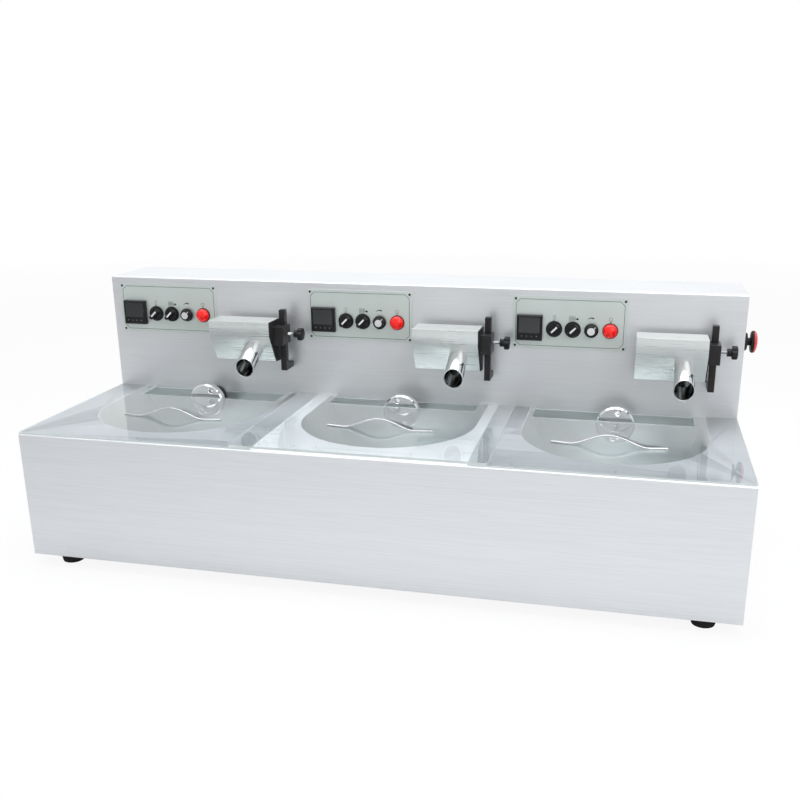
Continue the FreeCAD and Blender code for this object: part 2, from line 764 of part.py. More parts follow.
def speed_knob(x):
    """A knurled skirt, a tapered body and a shallow dish in the cap."""
    base = SPEED_NUT_T + REST_GAP
    profile = [
        (0, SPEED_H - SPEED_DISH),
        (SPEED_CAP_R, SPEED_H - SPEED_DISH),
        (SPEED_CAP_R, SPEED_H),
        (SPEED_R - SPEED_TAPER, SPEED_H),
        (SPEED_R, base + SPEED_SKIRT),
        (SPEED_R, base),
        (SPEED_STEM_R, base),
        (SPEED_STEM_R, REST_GAP),
        (0, REST_GAP),
    ]
    return turned(profile, control_centre(x, SPEED_X), OUT)


def dome(radius, low, high, steps):
    """The (radius, height) points of a dome, from its crown down to its rim."""
    angles = [math.radians(90 * k / steps) for k in range(steps + 1)]
    return [(radius * math.sin(a), low + (high - low) * math.cos(a)) for a in angles]


def pilot_lamp(x):
    """A domed lens seated in its bezel."""
    lens = LAMP_R - LAMP_RIM
    profile = dome(lens, LAMP_RIM, LAMP_H, DOME_STEPS) + [(lens, 0), (0, 0)]
    return turned(profile, control_centre(x, LAMP_X), OUT)


def lamp_bezel(x):
    """The black ring round the lens."""
    lens = LAMP_R - LAMP_RIM
    profile = [(lens, LAMP_RIM * 2), (LAMP_R, LAMP_RIM), (LAMP_R, 0), (lens, 0)]
    return turned(profile, control_centre(x, LAMP_X), OUT)


def switch_block(x, offset):
    """The contact block, potentiometer or lamp socket that stands behind a control."""
    back = WALL_Y
    w, d, h = CONTACT_BLOCK
    left = x + PLATE_LEFT + offset - w / 2
    return block(left, left + w, back, back + d, CONTROL_Z - h / 2, CONTROL_Z + h / 2)


def control_bezels(x):
    selectors = [selector_bezel(x, offset) for offset in (HEAT_X, MOTOR_X)]
    return selectors + [speed_bush(x), lamp_bezel(x)]


# ---- emergency stop

STOP_PLACE = V(LENGTH / 2, STOP_Y, STOP_Z)


def stop_collar():
    """The collar on the side wall, with the bore that the plunger slides in."""
    bore = STOP_STEM_R + RUN_CLEAR
    inward, back = STOP_COLLAR_TAPER
    profile = [
        (bore, STOP_COLLAR_T),
        (STOP_COLLAR_R - inward, STOP_COLLAR_T),
        (STOP_COLLAR_R, STOP_COLLAR_T - back),
        (STOP_COLLAR_R, 0),
        (bore, 0),
    ]
    return turned(profile, STOP_PLACE, RIGHT)


def stop_block():
    w, d, h = CONTACT_BLOCK
    inside = LENGTH / 2 - SHEET
    return block(inside - d, inside, STOP_Y - w / 2, STOP_Y + w / 2, STOP_Z - h / 2, STOP_Z + h / 2)


def stop_stem():
    """The plunger that slides in the collar, with a spigot for the head to turn on."""
    shoulder = STOP_REACH - STOP_HEAD_T - REST_GAP
    spigot = STOP_REACH - STOP_HEAD_T / 2
    profile = [
        (0, spigot),
        (STOP_SPIGOT_R, spigot),
        (STOP_SPIGOT_R, shoulder),
        (STOP_STEM_R, shoulder),
        (STOP_STEM_R, STOP_TRAVEL + REST_GAP),
        (0, STOP_TRAVEL + REST_GAP),
    ]
    return turned(profile, STOP_PLACE, RIGHT)


def stop_cap():
    """The mushroom head, hollow underneath where it turns on the spigot."""
    base = STOP_REACH - STOP_HEAD_T
    socket = STOP_SPIGOT_R + RUN_CLEAR
    roof = STOP_REACH - STOP_HEAD_T / 2 + REST_GAP
    profile = dome(STOP_HEAD_R, base + STOP_HEAD_T / 2, STOP_REACH, DOME_STEPS)
    profile += [
        (STOP_HEAD_R, base + 3),
        (STOP_HEAD_R - 3, base),
        (socket, base),
        (socket, roof),
        (0, roof),
    ]
    return turned(profile, STOP_PLACE, RIGHT)


# ---- scraper

def scraper_outline(inset):
    """The side outline of the scraper, each face pulled in by inset."""
    points = [(WALL_Y - d, z) for d, z in SCRAPER_PROFILE]
    if not inset:
        return points
    wire = Part.makePolygon([V(0, y, z) for y, z in points + points[:1]])
    inner = Part.Face(wire).makeOffset2D(-inset, 2)
    return [(v.Point.y, v.Point.z) for v in inner.OuterWire.OrderedVertexes]


def slant():
    """The middle of the slanted face, and the way it faces."""
    (d0, z0), (d1, z1) = SCRAPER_PROFILE[1], SCRAPER_PROFILE[2]
    run, rise = d1 - d0, z1 - z0
    size = math.hypot(run, rise)
    middle = V(0, WALL_Y - (d0 + d1) / 2, (z0 + z1) / 2)
    return middle, V(0, -rise / size, -run / size)


def scraper_box(x):
    """A folded trough: open at the wheel side, with the spout hole in its slanted face."""
    x0, x1 = x + SCRAPER_X0, x + SCRAPER_X1 - CLAMP_PLATE_T
    trough = along_x(scraper_outline(0), x0, x1)
    trough = trough.cut(along_x(scraper_outline(SCRAPER_SHEET), x0 - 1, x1 + 1))
    middle, facing = slant()
    centre = V(x + SPOUT_X, middle.y, middle.z)
    return trough.cut(rod(SPOUT_R - SPOUT_WALL, centre - facing * 4, facing, 8))


def spout(x):
    """A tube square on the slanted face, with its mouth cut nearly upright."""
    middle, facing = slant()
    centre = V(x + SPOUT_X, middle.y, middle.z)
    bore, far = SPOUT_R - SPOUT_WALL, 2 * SPOUT_L
    tube = turned([(bore, 0), (SPOUT_R, 0), (SPOUT_R, far), (bore, far)], centre, facing)
    mouth = FreeCAD.Rotation(RIGHT, SPOUT_CUT).multVec(facing)
    return tube.cut(rod(far, centre + facing * SPOUT_L, mouth, far))


def clamp_bar(x):
    """An upright bar standing on a foot that runs back to the wall."""
    cx = x + BAR_X
    w = BAR_W / 2
    front = WALL_Y - BAR_OUT - BAR_D
    bar = block(cx - w, cx + w, front, WALL_Y - BAR_OUT, BAR_Z0, BAR_Z1)
    foot = block(cx - w, cx + w, WALL_Y - BAR_OUT, WALL_Y, BAR_Z0, BAR_Z0 + BAR_FOOT)
    whole = bar.fuse(foot).removeSplitter()
    return round_edges(whole, BAR_ROUND, lambda b: near(b.ZMin, BAR_Z1) and b.ZLength < 0.01)


def clamp_block(x):
    """The black block that grips the bar and carries the closed end of the scraper."""
    cx = x + BAR_X
    x0 = x + SCRAPER_X1
    x1 = x0 + CLAMP_W
    rear = WALL_Y - BAR_OUT + CLAMP_BACK
    body = block(x0, x1, WALL_Y - CLAMP_FRONT, rear, CLAMP_Z0, CLAMP_Z0 + CLAMP_H)
    body = round_edges(body, CLAMP_CORNER, lambda b: upright(b) and near(b.XMin, x1))
    end = along_x(scraper_outline(0), x0 - CLAMP_PLATE_T, x0)
    whole = body.fuse(end)
    w = BAR_W / 2 + CLAMP_FIT
    front = WALL_Y - BAR_OUT - BAR_D - CLAMP_FIT
    whole = whole.cut(block(cx - w, cx + w, front, WALL_Y - BAR_OUT + CLAMP_FIT, CLAMP_Z0 - 1, CLAMP_Z0 + CLAMP_H + 1))
    hole = rod(THUMB_R + RUN_CLEAR, V(cx, WALL_Y - BAR_OUT - BAR_D / 2, THUMB_Z), RIGHT, CLAMP_W)
    return whole.cut(hole)


def thumbscrew(x):
    """A threaded rod with a stepped neck and a lobed grip."""
    y = WALL_Y - BAR_OUT - BAR_D / 2
    tip = x + BAR_X + BAR_W / 2
    neck = x + SCRAPER_X1 + CLAMP_W + THUMB_STANDOFF
    shank = rod(THUMB_R, V(tip, y, THUMB_Z), RIGHT, neck - tip)
    collar = rod(THUMB_NECK_R, V(neck, y, THUMB_Z), RIGHT, THUMB_NECK_L)
    head = V(neck + THUMB_NECK_L, y, THUMB_Z)
    grip = lobed_grip(THUMB_HEAD_R, THUMB_FLUTE, THUMB_LOBES, head, RIGHT, THUMB_HEAD_L)
    return shank.fuse(collar).fuse(grip)


# ---- the whole machine

save("base_shell", base_shell())
save("base_plate", base_plate())
save("back_shell", back_shell())
save("rear_panel", rear_panel())
save("rear_panel_screws", [panel_screw(x, z) for x, z in panel_screw_centres()])
save("rubber_feet", [rubber_foot(x, y) for x, y in foot_centres()])
save("foot_screws", [foot_screw(x, y) for x, y in foot_centres()])
save("cable_gland", cable_gland())
save("tank_heaters", [tank_heater(x) for x in STATIONS])
save("gearmotors", [gearmotor(x) for x in STATIONS])
save("shaft_bearings", [shaft_bearing(x) for x in STATIONS])
save("control_plates", [control_plate(x) for x in STATIONS])
save("control_plate_screws", [plate_screw(sx, sz) for x in STATIONS for sx, sz in plate_screw_centres(x)])
save("temperature_controllers", [controller(x) for x in STATIONS])
save("control_bezels", [bezel for x in STATIONS for bezel in control_bezels(x)])
save("pilot_lamps", [pilot_lamp(x) for x in STATIONS])
save("switch_blocks", [switch_block(x, offset) for x in STATIONS for offset in SWITCH_OFFSETS] + [stop_block()])
save("clamp_bars", [clamp_bar(x) for x in STATIONS])
save("stop_collar", stop_collar())
save("stop_stem", stop_stem())
save("stop_cap", stop_cap())
for number, station in enumerate(STATIONS):
    label = "_" + str(number + 1)
    save("tank" + label, tank(station))
    save("lid" + label, lid(number))
    save("lid_handle" + label, lid_handle(number))
    save("lid_screws" + label, [lid_screw(number, x) for x in handle_screw_x(number)])
    save("wheel_hub" + label, wheel_hub(number))
    save("heat_selector" + label, selector(station, HEAT_X))
    save("motor_selector" + label, selector(station, MOTOR_X))
    save("speed_knob" + label, speed_knob(station))
    save("scraper_box" + label, scraper_box(station))
    save("spout" + label, spout(station))
    save("clamp_block" + label, clamp_block(station))
    save("thumbscrew" + label, thumbscrew(station))
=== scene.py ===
import json
import math

import bpy
from mathutils import Euler, Matrix, Vector

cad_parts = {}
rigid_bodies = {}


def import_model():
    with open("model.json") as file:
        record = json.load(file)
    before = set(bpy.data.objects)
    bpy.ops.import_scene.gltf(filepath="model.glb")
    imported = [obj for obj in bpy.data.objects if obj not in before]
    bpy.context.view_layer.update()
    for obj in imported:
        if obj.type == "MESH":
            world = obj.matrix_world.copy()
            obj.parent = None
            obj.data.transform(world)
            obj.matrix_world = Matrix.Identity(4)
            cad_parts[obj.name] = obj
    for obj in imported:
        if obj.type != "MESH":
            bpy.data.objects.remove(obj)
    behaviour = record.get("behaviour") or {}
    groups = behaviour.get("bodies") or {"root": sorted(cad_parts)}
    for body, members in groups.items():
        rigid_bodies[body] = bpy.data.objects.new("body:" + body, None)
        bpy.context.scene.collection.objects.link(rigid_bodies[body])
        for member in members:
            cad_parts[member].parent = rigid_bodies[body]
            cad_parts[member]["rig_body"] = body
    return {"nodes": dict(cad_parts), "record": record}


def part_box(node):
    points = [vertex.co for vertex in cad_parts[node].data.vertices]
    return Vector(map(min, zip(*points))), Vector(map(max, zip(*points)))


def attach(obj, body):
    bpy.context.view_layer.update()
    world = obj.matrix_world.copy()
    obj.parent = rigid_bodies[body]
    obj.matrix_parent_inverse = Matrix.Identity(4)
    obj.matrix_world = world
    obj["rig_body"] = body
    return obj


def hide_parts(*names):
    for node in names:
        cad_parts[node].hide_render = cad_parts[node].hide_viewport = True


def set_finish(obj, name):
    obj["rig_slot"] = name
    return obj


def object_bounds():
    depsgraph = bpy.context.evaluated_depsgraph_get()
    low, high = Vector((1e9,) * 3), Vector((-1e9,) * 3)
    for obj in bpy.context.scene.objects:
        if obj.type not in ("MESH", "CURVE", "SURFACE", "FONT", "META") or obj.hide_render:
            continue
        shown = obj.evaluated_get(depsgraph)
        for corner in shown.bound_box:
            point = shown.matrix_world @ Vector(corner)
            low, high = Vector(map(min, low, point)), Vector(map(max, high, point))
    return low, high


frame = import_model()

cad_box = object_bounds()
MM = 0.001
PITCH = 390 * MM


# ---- base housing: folded from 1.5 mm stainless sheet with a fine brushed grain that runs along
# the machine. The deck, the front and the two ends are one shell, its top bends rolled, and a
# flat plate with slots closes it underneath.

class Wire:
    """An output of a material's nodes, so that the maths of a finish reads as plain sums."""

    def __init__(self, tree, socket=None):
        self.tree, self.socket = tree, socket

    def node(self, kind, settings=None, sockets=None, out=0):
        made = self.tree.nodes.new(kind)
        for name, value in (settings or {}).items():
            if name == "stops":
                ramp = made.color_ramp.elements
                while len(ramp) < len(value):
                    ramp.new(0.5)
                for stop, (place, colour) in zip(ramp, value):
                    stop.position, stop.color = place, (*colour, 1)
            else:
                setattr(made, name, value)
        for name, value in (sockets or {}).items():
            if isinstance(value, Wire):
                self.tree.links.new(value.socket, made.inputs[name])
            else:
                made.inputs[name].default_value = value
        return Wire(self.tree, made.outputs[out])

    def maths(self, how, first, second=0.0):
        return self.node("ShaderNodeMath", {"operation": how}, {0: first, 1: second})

    def __add__(self, other):
        return self.maths("ADD", self, other)

    def __mul__(self, other):
        return self.maths("MULTIPLY", self, other)

    def __sub__(self, other):
        return self.maths("SUBTRACT", self, other)

    def __rsub__(self, other):
        return self.maths("SUBTRACT", other, self)

    __radd__, __rmul__ = __add__, __mul__

    def above(self, limit):
        return self.maths("GREATER_THAN", self, limit)

    def below(self, limit):
        return self.maths("LESS_THAN", self, limit)

    def parts(self):
        split = self.node("ShaderNodeSeparateXYZ", None, {0: self})
        outs = self.tree.nodes[-1].outputs
        return [Wire(self.tree, outs[k]) for k in range(3)] if split else []

    def noise(self, scale, detail=3.0, stretch=(1, 1, 1)):
        placed = self.node("ShaderNodeMapping", None, {"Vector": self, "Scale": stretch})
        sockets = {"Vector": placed, "Scale": scale, "Detail": detail}
        return self.node("ShaderNodeTexNoise", None, sockets)

    def blend(self, first, second):
        """Mixes two colours by this value."""
        settings = {"data_type": "RGBA"}
        colours = [c if isinstance(c, Wire) else (*c, 1) for c in (first, second)]
        made = self.node("ShaderNodeMix", settings, {0: self, 6: colours[0], 7: colours[1]}, 2)
        return made

    def bump(self, distance, strength=1.0):
        return self.node("ShaderNodeBump", None, {"Height": self, "Distance": distance, "Strength": strength})


def new_finish(name):
    """A new material with its shader, and the wire of its object coordinates."""
    made = bpy.data.materials.new(name)
    made.use_nodes = True
    tree = made.node_tree
    shader = tree.nodes["Principled BSDF"]
    start = Wire(tree)
    place = start.node("ShaderNodeTexCoord", None, None, 3)
    return made, shader, place


def feed(shader, **inputs):
    """Sets the shader's sockets; names are written with _ for a space."""
    for name, value in inputs.items():
        socket = shader.inputs[name.replace("_", " ")]
        if isinstance(value, Wire):
            value.tree.links.new(value.socket, socket)
        else:
            socket.default_value = (*value, 1) if isinstance(value, tuple) else value


def brushed_steel(name, dark, pale, rough, metal=0.9, grain=1.0, along="x"):
    """Sheet steel: long fine scratches along the grain, wider soft bands and a few smudges."""
    made, shader, place = new_finish(name)
    facing = place.node("ShaderNodeNewGeometry", None, None, 3)
    side = facing.parts()[0].maths("ABSOLUTE", facing.parts()[0]).above(0.7)
    lengthwise = (6, 420, 420) if along == "x" else (420, 420, 6)
    across = (420, 6, 420)
    fine = place.noise(1.6, 4, lengthwise) * (1 - side) + place.noise(1.6, 4, across) * side
    bands = place.noise(1.0, 2, (1.2, 60, 60)) * (1 - side) + place.noise(1.0, 2, (60, 1.2, 60)) * side
    smudge = place.noise(9, 4)
    tone = fine * 0.8 + bands * 0.2
    ramp = tone.node("ShaderNodeValToRGB", {"stops": ((0.25, dark), (0.75, pale))}, {0: tone})
    feed(
        shader, Base_Color=ramp, Metallic=metal,
        Roughness=rough + (fine - 0.5) * 0.22 + (smudge - 0.5) * 0.16
    )
    feed(shader, Normal=fine.bump(0.00012 * grain, 0.35))
    return made


housing_steel = brushed_steel(
    "brushed stainless sheet", (0.655, 0.665, 0.68), (0.735, 0.745, 0.765), 0.36, metal=0.6
)


def paint(node, finish):
    """Gives a CAD node its finish, on the slots of its own object."""
    held = frame["nodes"][node]
    held.data.materials.clear()
    held.data.materials.append(finish)


def pick(thing):
    """Makes a piece the only selected and active object."""
    bpy.ops.object.select_all(action="DESELECT")
    thing.select_set(True)
    bpy.context.view_layer.objects.active = thing


def shape_up(piece, *modifiers):
    """Adds and applies modifiers, each given as (kind, settings)."""
    pick(piece)
    for kind, settings in modifiers:
        made = piece.modifiers.new(kind.lower(), kind)
        for name, value in settings.items():
            setattr(made, name, value)
        bpy.ops.object.modifier_apply(modifier=made.name)


def rounded(width, segments=2, angle=30):
    """The settings of a bevel on every edge sharper than an angle in degrees."""
    return ("BEVEL", {"width": width, "segments": segments, "limit_method": "ANGLE",
                      "angle_limit": math.radians(angle), "use_clamp_overlap": True,
                      "harden_normals": False})


def smooth(piece, angle=35):
    """Smooths the rounded edges and keeps the flat faces between them flat."""
    pick(piece)
    bpy.ops.object.shade_smooth_by_angle(angle=math.radians(angle))
    shape_up(piece, ("WEIGHTED_NORMAL", {"keep_sharp": True, "weight": 100}))


def settle(piece, name, body, slot_name, finish, replaced=()):
    """Names a piece, gives it its finish, and says what it rides on and stands for."""
    piece.name = piece.data.name = name
    piece.data.materials.clear()
    piece.data.materials.append(finish)
    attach(piece, body)
    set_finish(piece, slot_name)
    if replaced:
        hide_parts(*replaced)
    return piece


def body_of_node(node):
    return next(name for name, held in frame["record"]["behaviour"]["bodies"].items() if node in held)


def slot_of_node(node):
    return next(part["material_slot"] for part in frame["record"]["subparts"] if part["node"] == node)


def eased(node, finish, width, segments=2, name=None, angle=30):
    """A merged copy of a CAD node, with the edges of its sheet or block eased as the real one's are."""
    piece = bpy.data.objects.new(node + "_eased", frame["nodes"][node].data.copy())
    bpy.context.collection.objects.link(piece)
    pick(piece)
    bpy.ops.object.mode_set(mode="EDIT")
    bpy.ops.mesh.select_all(action="SELECT")
    bpy.ops.mesh.remove_doubles(threshold=0.00001)
    bpy.ops.mesh.dissolve_limited(angle_limit=math.radians(1))
    bpy.ops.object.mode_set(mode="OBJECT")
    if width:
        shape_up(piece, rounded(width, segments, angle))
    smooth(piece)
    return settle(piece, name or node + "_eased", body_of_node(node), slot_of_node(node), finish, (node,))


eased("base_shell", housing_steel, 0.8 * MM, 2)
paint("base_plate", housing_steel)


# ---- rubber feet: four moulded black feet with a tapered sole and a shallow groove round the
# top. Each is held by a hexagon screw sunk in a recess, and carries the housing's bottom plate.

def turned(profile, place, axis, closed=False, steps=64):
    """A lathe-turned solid. The profile is (radius, distance along the axis), ring after ring."""
    bpy.ops.object.select_all(action="DESELECT")
    radius, height = profile[0]
    fill = "NOTHING" if closed else "NGON"
    bpy.ops.mesh.primitive_circle_add(vertices=steps, radius=radius, fill_type=fill, location=(0, 0, height))
    piece = bpy.context.object
    bpy.ops.object.transform_apply(location=True, rotation=False, scale=False)
    bpy.ops.object.mode_set(mode="EDIT")
    bpy.context.tool_settings.mesh_select_mode = (True, False, False)
    bpy.ops.mesh.select_all(action="SELECT")
    for wide, high in profile[1:]:
        move = {"value": (0, 0, high - height)}
        bpy.ops.mesh.extrude_region_move(TRANSFORM_OT_translate=move)
        grow = wide / radius
        bpy.ops.transform.resize(value=(grow, grow, 1), center_override=(0, 0, high))
        radius, height = wide, high
    bpy.ops.mesh.select_all(action="SELECT")
    bpy.ops.mesh.remove_doubles(threshold=0.000002)
    bpy.ops.mesh.normals_make_consistent(inside=False)
    bpy.ops.object.mode_set(mode="OBJECT")
    turn = Vector((0, 0, 1)).rotation_difference(Vector(axis)).to_matrix().to_4x4()
    piece.matrix_world = Matrix.Translation(place) @ turn
    pick(piece)
    bpy.ops.object.transform_apply(location=True, rotation=True, scale=True)
    return piece


def again(piece, name, shift=(0, 0, 0), body=None):
    """The same piece once more, with its own mesh, moved to its next place."""
    made = bpy.data.objects.new(name, piece.data.copy())
    made.data.name = name
    bpy.context.collection.objects.link(made)
    made.data.transform(Matrix.Translation(shift))
    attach(made, body or piece["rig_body"])
    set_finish(made, piece["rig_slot"])
    return made


def moulded(name, colour, rough, texture=0.00006, metal=0.0, coat=0.0):
    """Moulded or cast stuff: a fine eggshell texture, faint mottling and a little dust in it."""
    made, shader, place = new_finish(name)
    skin = place.noise(1500, 2)
    mottle = place.noise(38, 4)
    pale = tuple(min(1.0, c * 1.35 + 0.012) for c in colour)
    feed(shader, Base_Color=mottle.blend(colour, pale), Metallic=metal)
    feed(shader, Roughness=rough + (mottle - 0.5) * 0.2, Normal=skin.bump(texture, 0.5), Coat_Weight=coat)
    feed(shader, Specular_IOR_Level=0.15 if max(colour) < 0.05 else 0.5)
    return made


rubber = moulded("black rubber", (0.012, 0.012, 0.013), 0.72, 0.0001)
low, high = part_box("rubber_feet")
foot_r, foot_h = 21.5 * MM, high.z - low.z
foot_shape = [
    (foot_r - 4.9 * MM, 0),
    (foot_r - 3.6 * MM, 0.7 * MM),
    (foot_r - 3.0 * MM, 2.5 * MM),
    (foot_r - 1.1 * MM, foot_h - 5.5 * MM),
    (foot_r - 1.7 * MM, foot_h - 5.0 * MM),
    (foot_r - 1.7 * MM, foot_h - 4.0 * MM),
    (foot_r - 0.7 * MM, foot_h - 3.5 * MM),
    (foot_r, foot_h - 0.6 * MM),
    (foot_r - 0.6 * MM, foot_h),
    (8 * MM, foot_h),
    (8 * MM, 0),
    (foot_r - 4.9 * MM, 0),
]
first_foot = turned(foot_shape, (low.x + foot_r, low.y + foot_r, low.z), (0, 0, 1), closed=True)
smooth(first_foot)
settle(first_foot, "foot_1", "machine", "rubber", rubber, ("rubber_feet",))
across, deep = high.x - low.x - 2 * foot_r, high.y - low.y - 2 * foot_r
for number, shift in enumerate(((across, 0, 0), (0, deep, 0), (across, deep, 0)), 2):
    again(first_foot, f"foot_{number}", shift)

screw_steel = moulded("zinc-plated screws", (0.56, 0.57, 0.58), 0.34, 0.00003, metal=0.95)
eased("foot_screws", screw_steel, 0.3 * MM)


# ---- tanks: deep-drawn stainless pans let into the deck, with a rolled lip round the opening and
# a satin inside. A silicone heating mat is bonded under the floor of each pan.

tank_steel = brushed_steel("satin pan steel", (0.50, 0.53, 0.53), (0.60, 0.63, 0.63), 0.34, grain=0.6)
for number in (1, 2, 3):
    eased(f"tank_{number}", tank_steel, 0.35 * MM)
paint("tank_heaters", moulded("orange silicone mat", (0.30, 0.075, 0.02), 0.65, 0.0001))


# ---- backboard housing: a second folded shell that stands behind the deck and carries the
# controls. A louvred panel closes it at the rear with cross-head screws, and a plastic gland
# takes the cord through it.

eased("back_shell", housing_steel, 0.8 * MM, 2)
eased("rear_panel", housing_steel, 0.25 * MM, 1)
eased("rear_panel_screws", screw_steel, 0.35 * MM)
black_plastic = moulded("black moulded plastic", (0.011, 0.011, 0.012), 0.34, 0.00003)
eased("cable_gland", black_plastic, 0.5 * MM)


# ---- wheel hubs: polished discs on the ends of the drive shafts, with a bright chamfered rim, a
# fine turned groove near it and two countersunk holes that the wheel's bolts go into.

def polished(name, colour, rough):
    """Buffed metal: almost a mirror, with hair scratches and a few dull finger marks."""
    made, shader, place = new_finish(name)
    marks = place.noise(60, 5)
    hair = place.noise(900, 2, (1, 0.12, 1))
    pale = tuple(min(1.0, c * 1.08) for c in colour)
    feed(shader, Base_Color=marks.blend(colour, pale), Metallic=1.0)
    feed(
        shader, Roughness=rough + (marks - 0.4) * 0.08 + (hair - 0.5) * 0.05,
        Normal=hair.bump(0.00001, 0.25)
    )
    return made


chrome = polished("polished steel", (0.66, 0.67, 0.68), 0.09)
for number in (1, 2, 3):
    low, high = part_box(f"wheel_hub_{number}")
    radius = (high.x - low.x) / 2
    face = Vector((low.x + radius, low.y, low.z + radius))
    length = high.y - low.y
    hub_shape = [
        (radius - 9.0 * MM, 0.45 * MM),
        (radius - 8.4 * MM, 0.45 * MM),
        (radius - 8.0 * MM, 0),
        (radius - 2.2 * MM, 0),
        (radius, 2.2 * MM),
        (radius, 13.6 * MM),
        (radius - 0.4 * MM, 14 * MM),
        (14 * MM, 14 * MM),
        (14 * MM, 50 * MM),
        (10 * MM, 50.1 * MM),
        (10 * MM, length - 0.6 * MM),
        (9.4 * MM, length),
    ]
    hub = turned(hub_shape, face, (0, 1, 0), steps=96)
    tilt = math.radians((-27.0, 16.0, -7.0)[number - 1])
    for side in (1, -1):
        out = Vector((-math.sin(tilt), 0, math.cos(tilt))) * side * 24.5 * MM
        bore_shape = [
            (6.4 * MM, -0.2 * MM), (6.2 * MM, 0.01 * MM), (5.0 * MM, 1.2 * MM), (5.0 * MM, 9.0 * MM),
            (0.2 * MM, 10.4 * MM)
        ]
        bore = turned(bore_shape, face + out, (0, 1, 0), steps=40)
        shape_up(hub, ("BOOLEAN", {"object": bore, "operation": "DIFFERENCE", "solver": "EXACT"}))
        bpy.data.objects.remove(bore)
    smooth(hub)
    settle(hub, f"hub_{number}", f"hub_body_{number}", "polished_steel", chrome, (f"wheel_hub_{number}",))
paint("shaft_bearings", moulded("dark bearing plastic", (0.03, 0.03, 0.032), 0.45))
paint("gearmotors", moulded("grey motor paint", (0.10, 0.11, 0.12), 0.45, 0.00008))


# ---- control plates: one anodised aluminium plate for each station, pale green-grey, with a thin
# dark line printed just inside its edge. A small dark screw holds each corner to the wall.

def plate_aluminium():
    """Anodised plate: a close satin grain, with the printed line worked out from its edges."""
    made, shader, place = new_finish("anodised control plate")
    low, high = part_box("control_plates")
    wide, tall = high.x - low.x - 2 * PITCH, high.z - low.z
    x, y, z = place.parts()
    turns = (x - low.x) * (1 / PITCH)
    u = (turns.maths("FRACT", turns) * PITCH - wide / 2)
    u = u.maths("ABSOLUTE", u)
    v = z - (low.z + high.z) / 2
    v = v.maths("ABSOLUTE", v)
    inset, chamfer, line = 5.6 * MM, 7.5 * MM, 0.42 * MM
    a, b = wide / 2 - inset, tall / 2 - inset
    edge = (u - a).maths("MAXIMUM", u - a, v - b)
    corner = (u + v - (a + b - chamfer)) * 0.7071
    edge = edge.maths("MAXIMUM", edge, corner)
    edge = edge.maths("ABSOLUTE", edge)
    front = y.below(low.y + 0.1 * MM)
    ink = edge.below(line) * front
    grain = place.noise(1.4, 3, (8, 500, 500))
    cloud = place.noise(16, 3)
    tone = cloud.blend((0.60, 0.665, 0.635), (0.66, 0.72, 0.695))
    feed(shader, Base_Color=ink.blend(tone, (0.06, 0.075, 0.07)), Metallic=(1 - ink) * 0.35)
    feed(shader, Roughness=0.4 + (grain - 0.5) * 0.15, Normal=grain.bump(0.00005, 0.3))
    return made


plate_finish = plate_aluminium()
eased("control_plates", plate_finish, 0.2 * MM, 1)

dark_screw = moulded("blackened screws", (0.03, 0.03, 0.033), 0.3, 0.00002, metal=0.7)
low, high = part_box("control_plate_screws")
head_r, head_h = 2.2 * MM, high.y - low.y
head_shape = [
    (head_r, 0),
    (head_r, 0.35 * MM),
    (head_r - 0.3 * MM, 0.7 * MM),
    (head_r - 0.9 * MM, 1.0 * MM),
    (0.3 * MM, head_h),
]
plate_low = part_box("control_plates")[0]
wide, tall = high.x - low.x - 2 * PITCH - 2 * head_r, high.z - low.z - 2 * head_r
first_screw = turned(head_shape, (low.x + head_r, high.y, low.z + head_r), (0, -1, 0), steps=24)
for turn in (35, 125):
    bpy.ops.object.select_all(action="DESELECT")
    bpy.ops.mesh.primitive_cube_add(size=1, location=(low.x + head_r, low.y, low.z + head_r),
                                    rotation=(0, math.radians(turn), 0), scale=(2.6 * MM, 1.0 * MM, 0.5 * MM))
    slot_cutter = bpy.context.object
    shape_up(first_screw, ("BOOLEAN", {"object": slot_cutter, "operation": "DIFFERENCE", "solver": "EXACT"}))
    bpy.data.objects.remove(slot_cutter)
smooth(first_screw)
settle(first_screw, "plate_screw_1", "machine", "dark_screw", dark_screw, ("control_plate_screws",))
corners = [(k * PITCH + dx, 0, dz) for k in range(3) for dx in (0, wide) for dz in (0, tall)]
for number, shift in enumerate(corners[1:], 2):
    again(first_screw, f"plate_screw_{number}", shift)


# ---- printed marks: ink signs over the controls, screen printed on the plate. A thermometer, a
# motor, a rising wedge for speed and a lamp bulb tell what each control does, with no words.

def inked(name, points, finish, ring=0.0):
    """One patch of ink: a flat outline given as (x, z) points, raised by the ink's thickness."""
    bpy.ops.object.select_all(action="DESELECT")
    bpy.ops.mesh.primitive_circle_add(vertices=len(points), radius=MM, fill_type="NGON",
                                      rotation=(math.pi / 2, 0, 0))
    piece = bpy.context.object
    bpy.ops.object.transform_apply(location=True, rotation=True, scale=True)
    for vertex, (px, pz) in zip(piece.data.vertices, points):
        vertex.co = (px * MM, 0, pz * MM)
    bpy.ops.object.mode_set(mode="EDIT")
    bpy.ops.mesh.select_all(action="SELECT")
    if ring:
        bpy.ops.mesh.select_mode(type="FACE")
        bpy.ops.mesh.inset(thickness=ring * MM)
        bpy.ops.mesh.delete(type="FACE")
        bpy.ops.mesh.select_all(action="SELECT")
    bpy.ops.mesh.extrude_region_move(TRANSFORM_OT_translate={"value": (0, -0.1 * MM, 0)})
    bpy.ops.mesh.select_all(action="SELECT")
    bpy.ops.mesh.normals_make_consistent(inside=False)
    bpy.ops.object.mode_set(mode="OBJECT")
    return settle(piece, name, "machine", "plate_aluminium", finish)


def round_points(x, z, radius, count=20, flat=1.0):
    steps = [2 * math.pi * k / count for k in range(count)]
    return [(x + radius * math.cos(t), z + radius * flat * math.sin(t)) for t in steps]


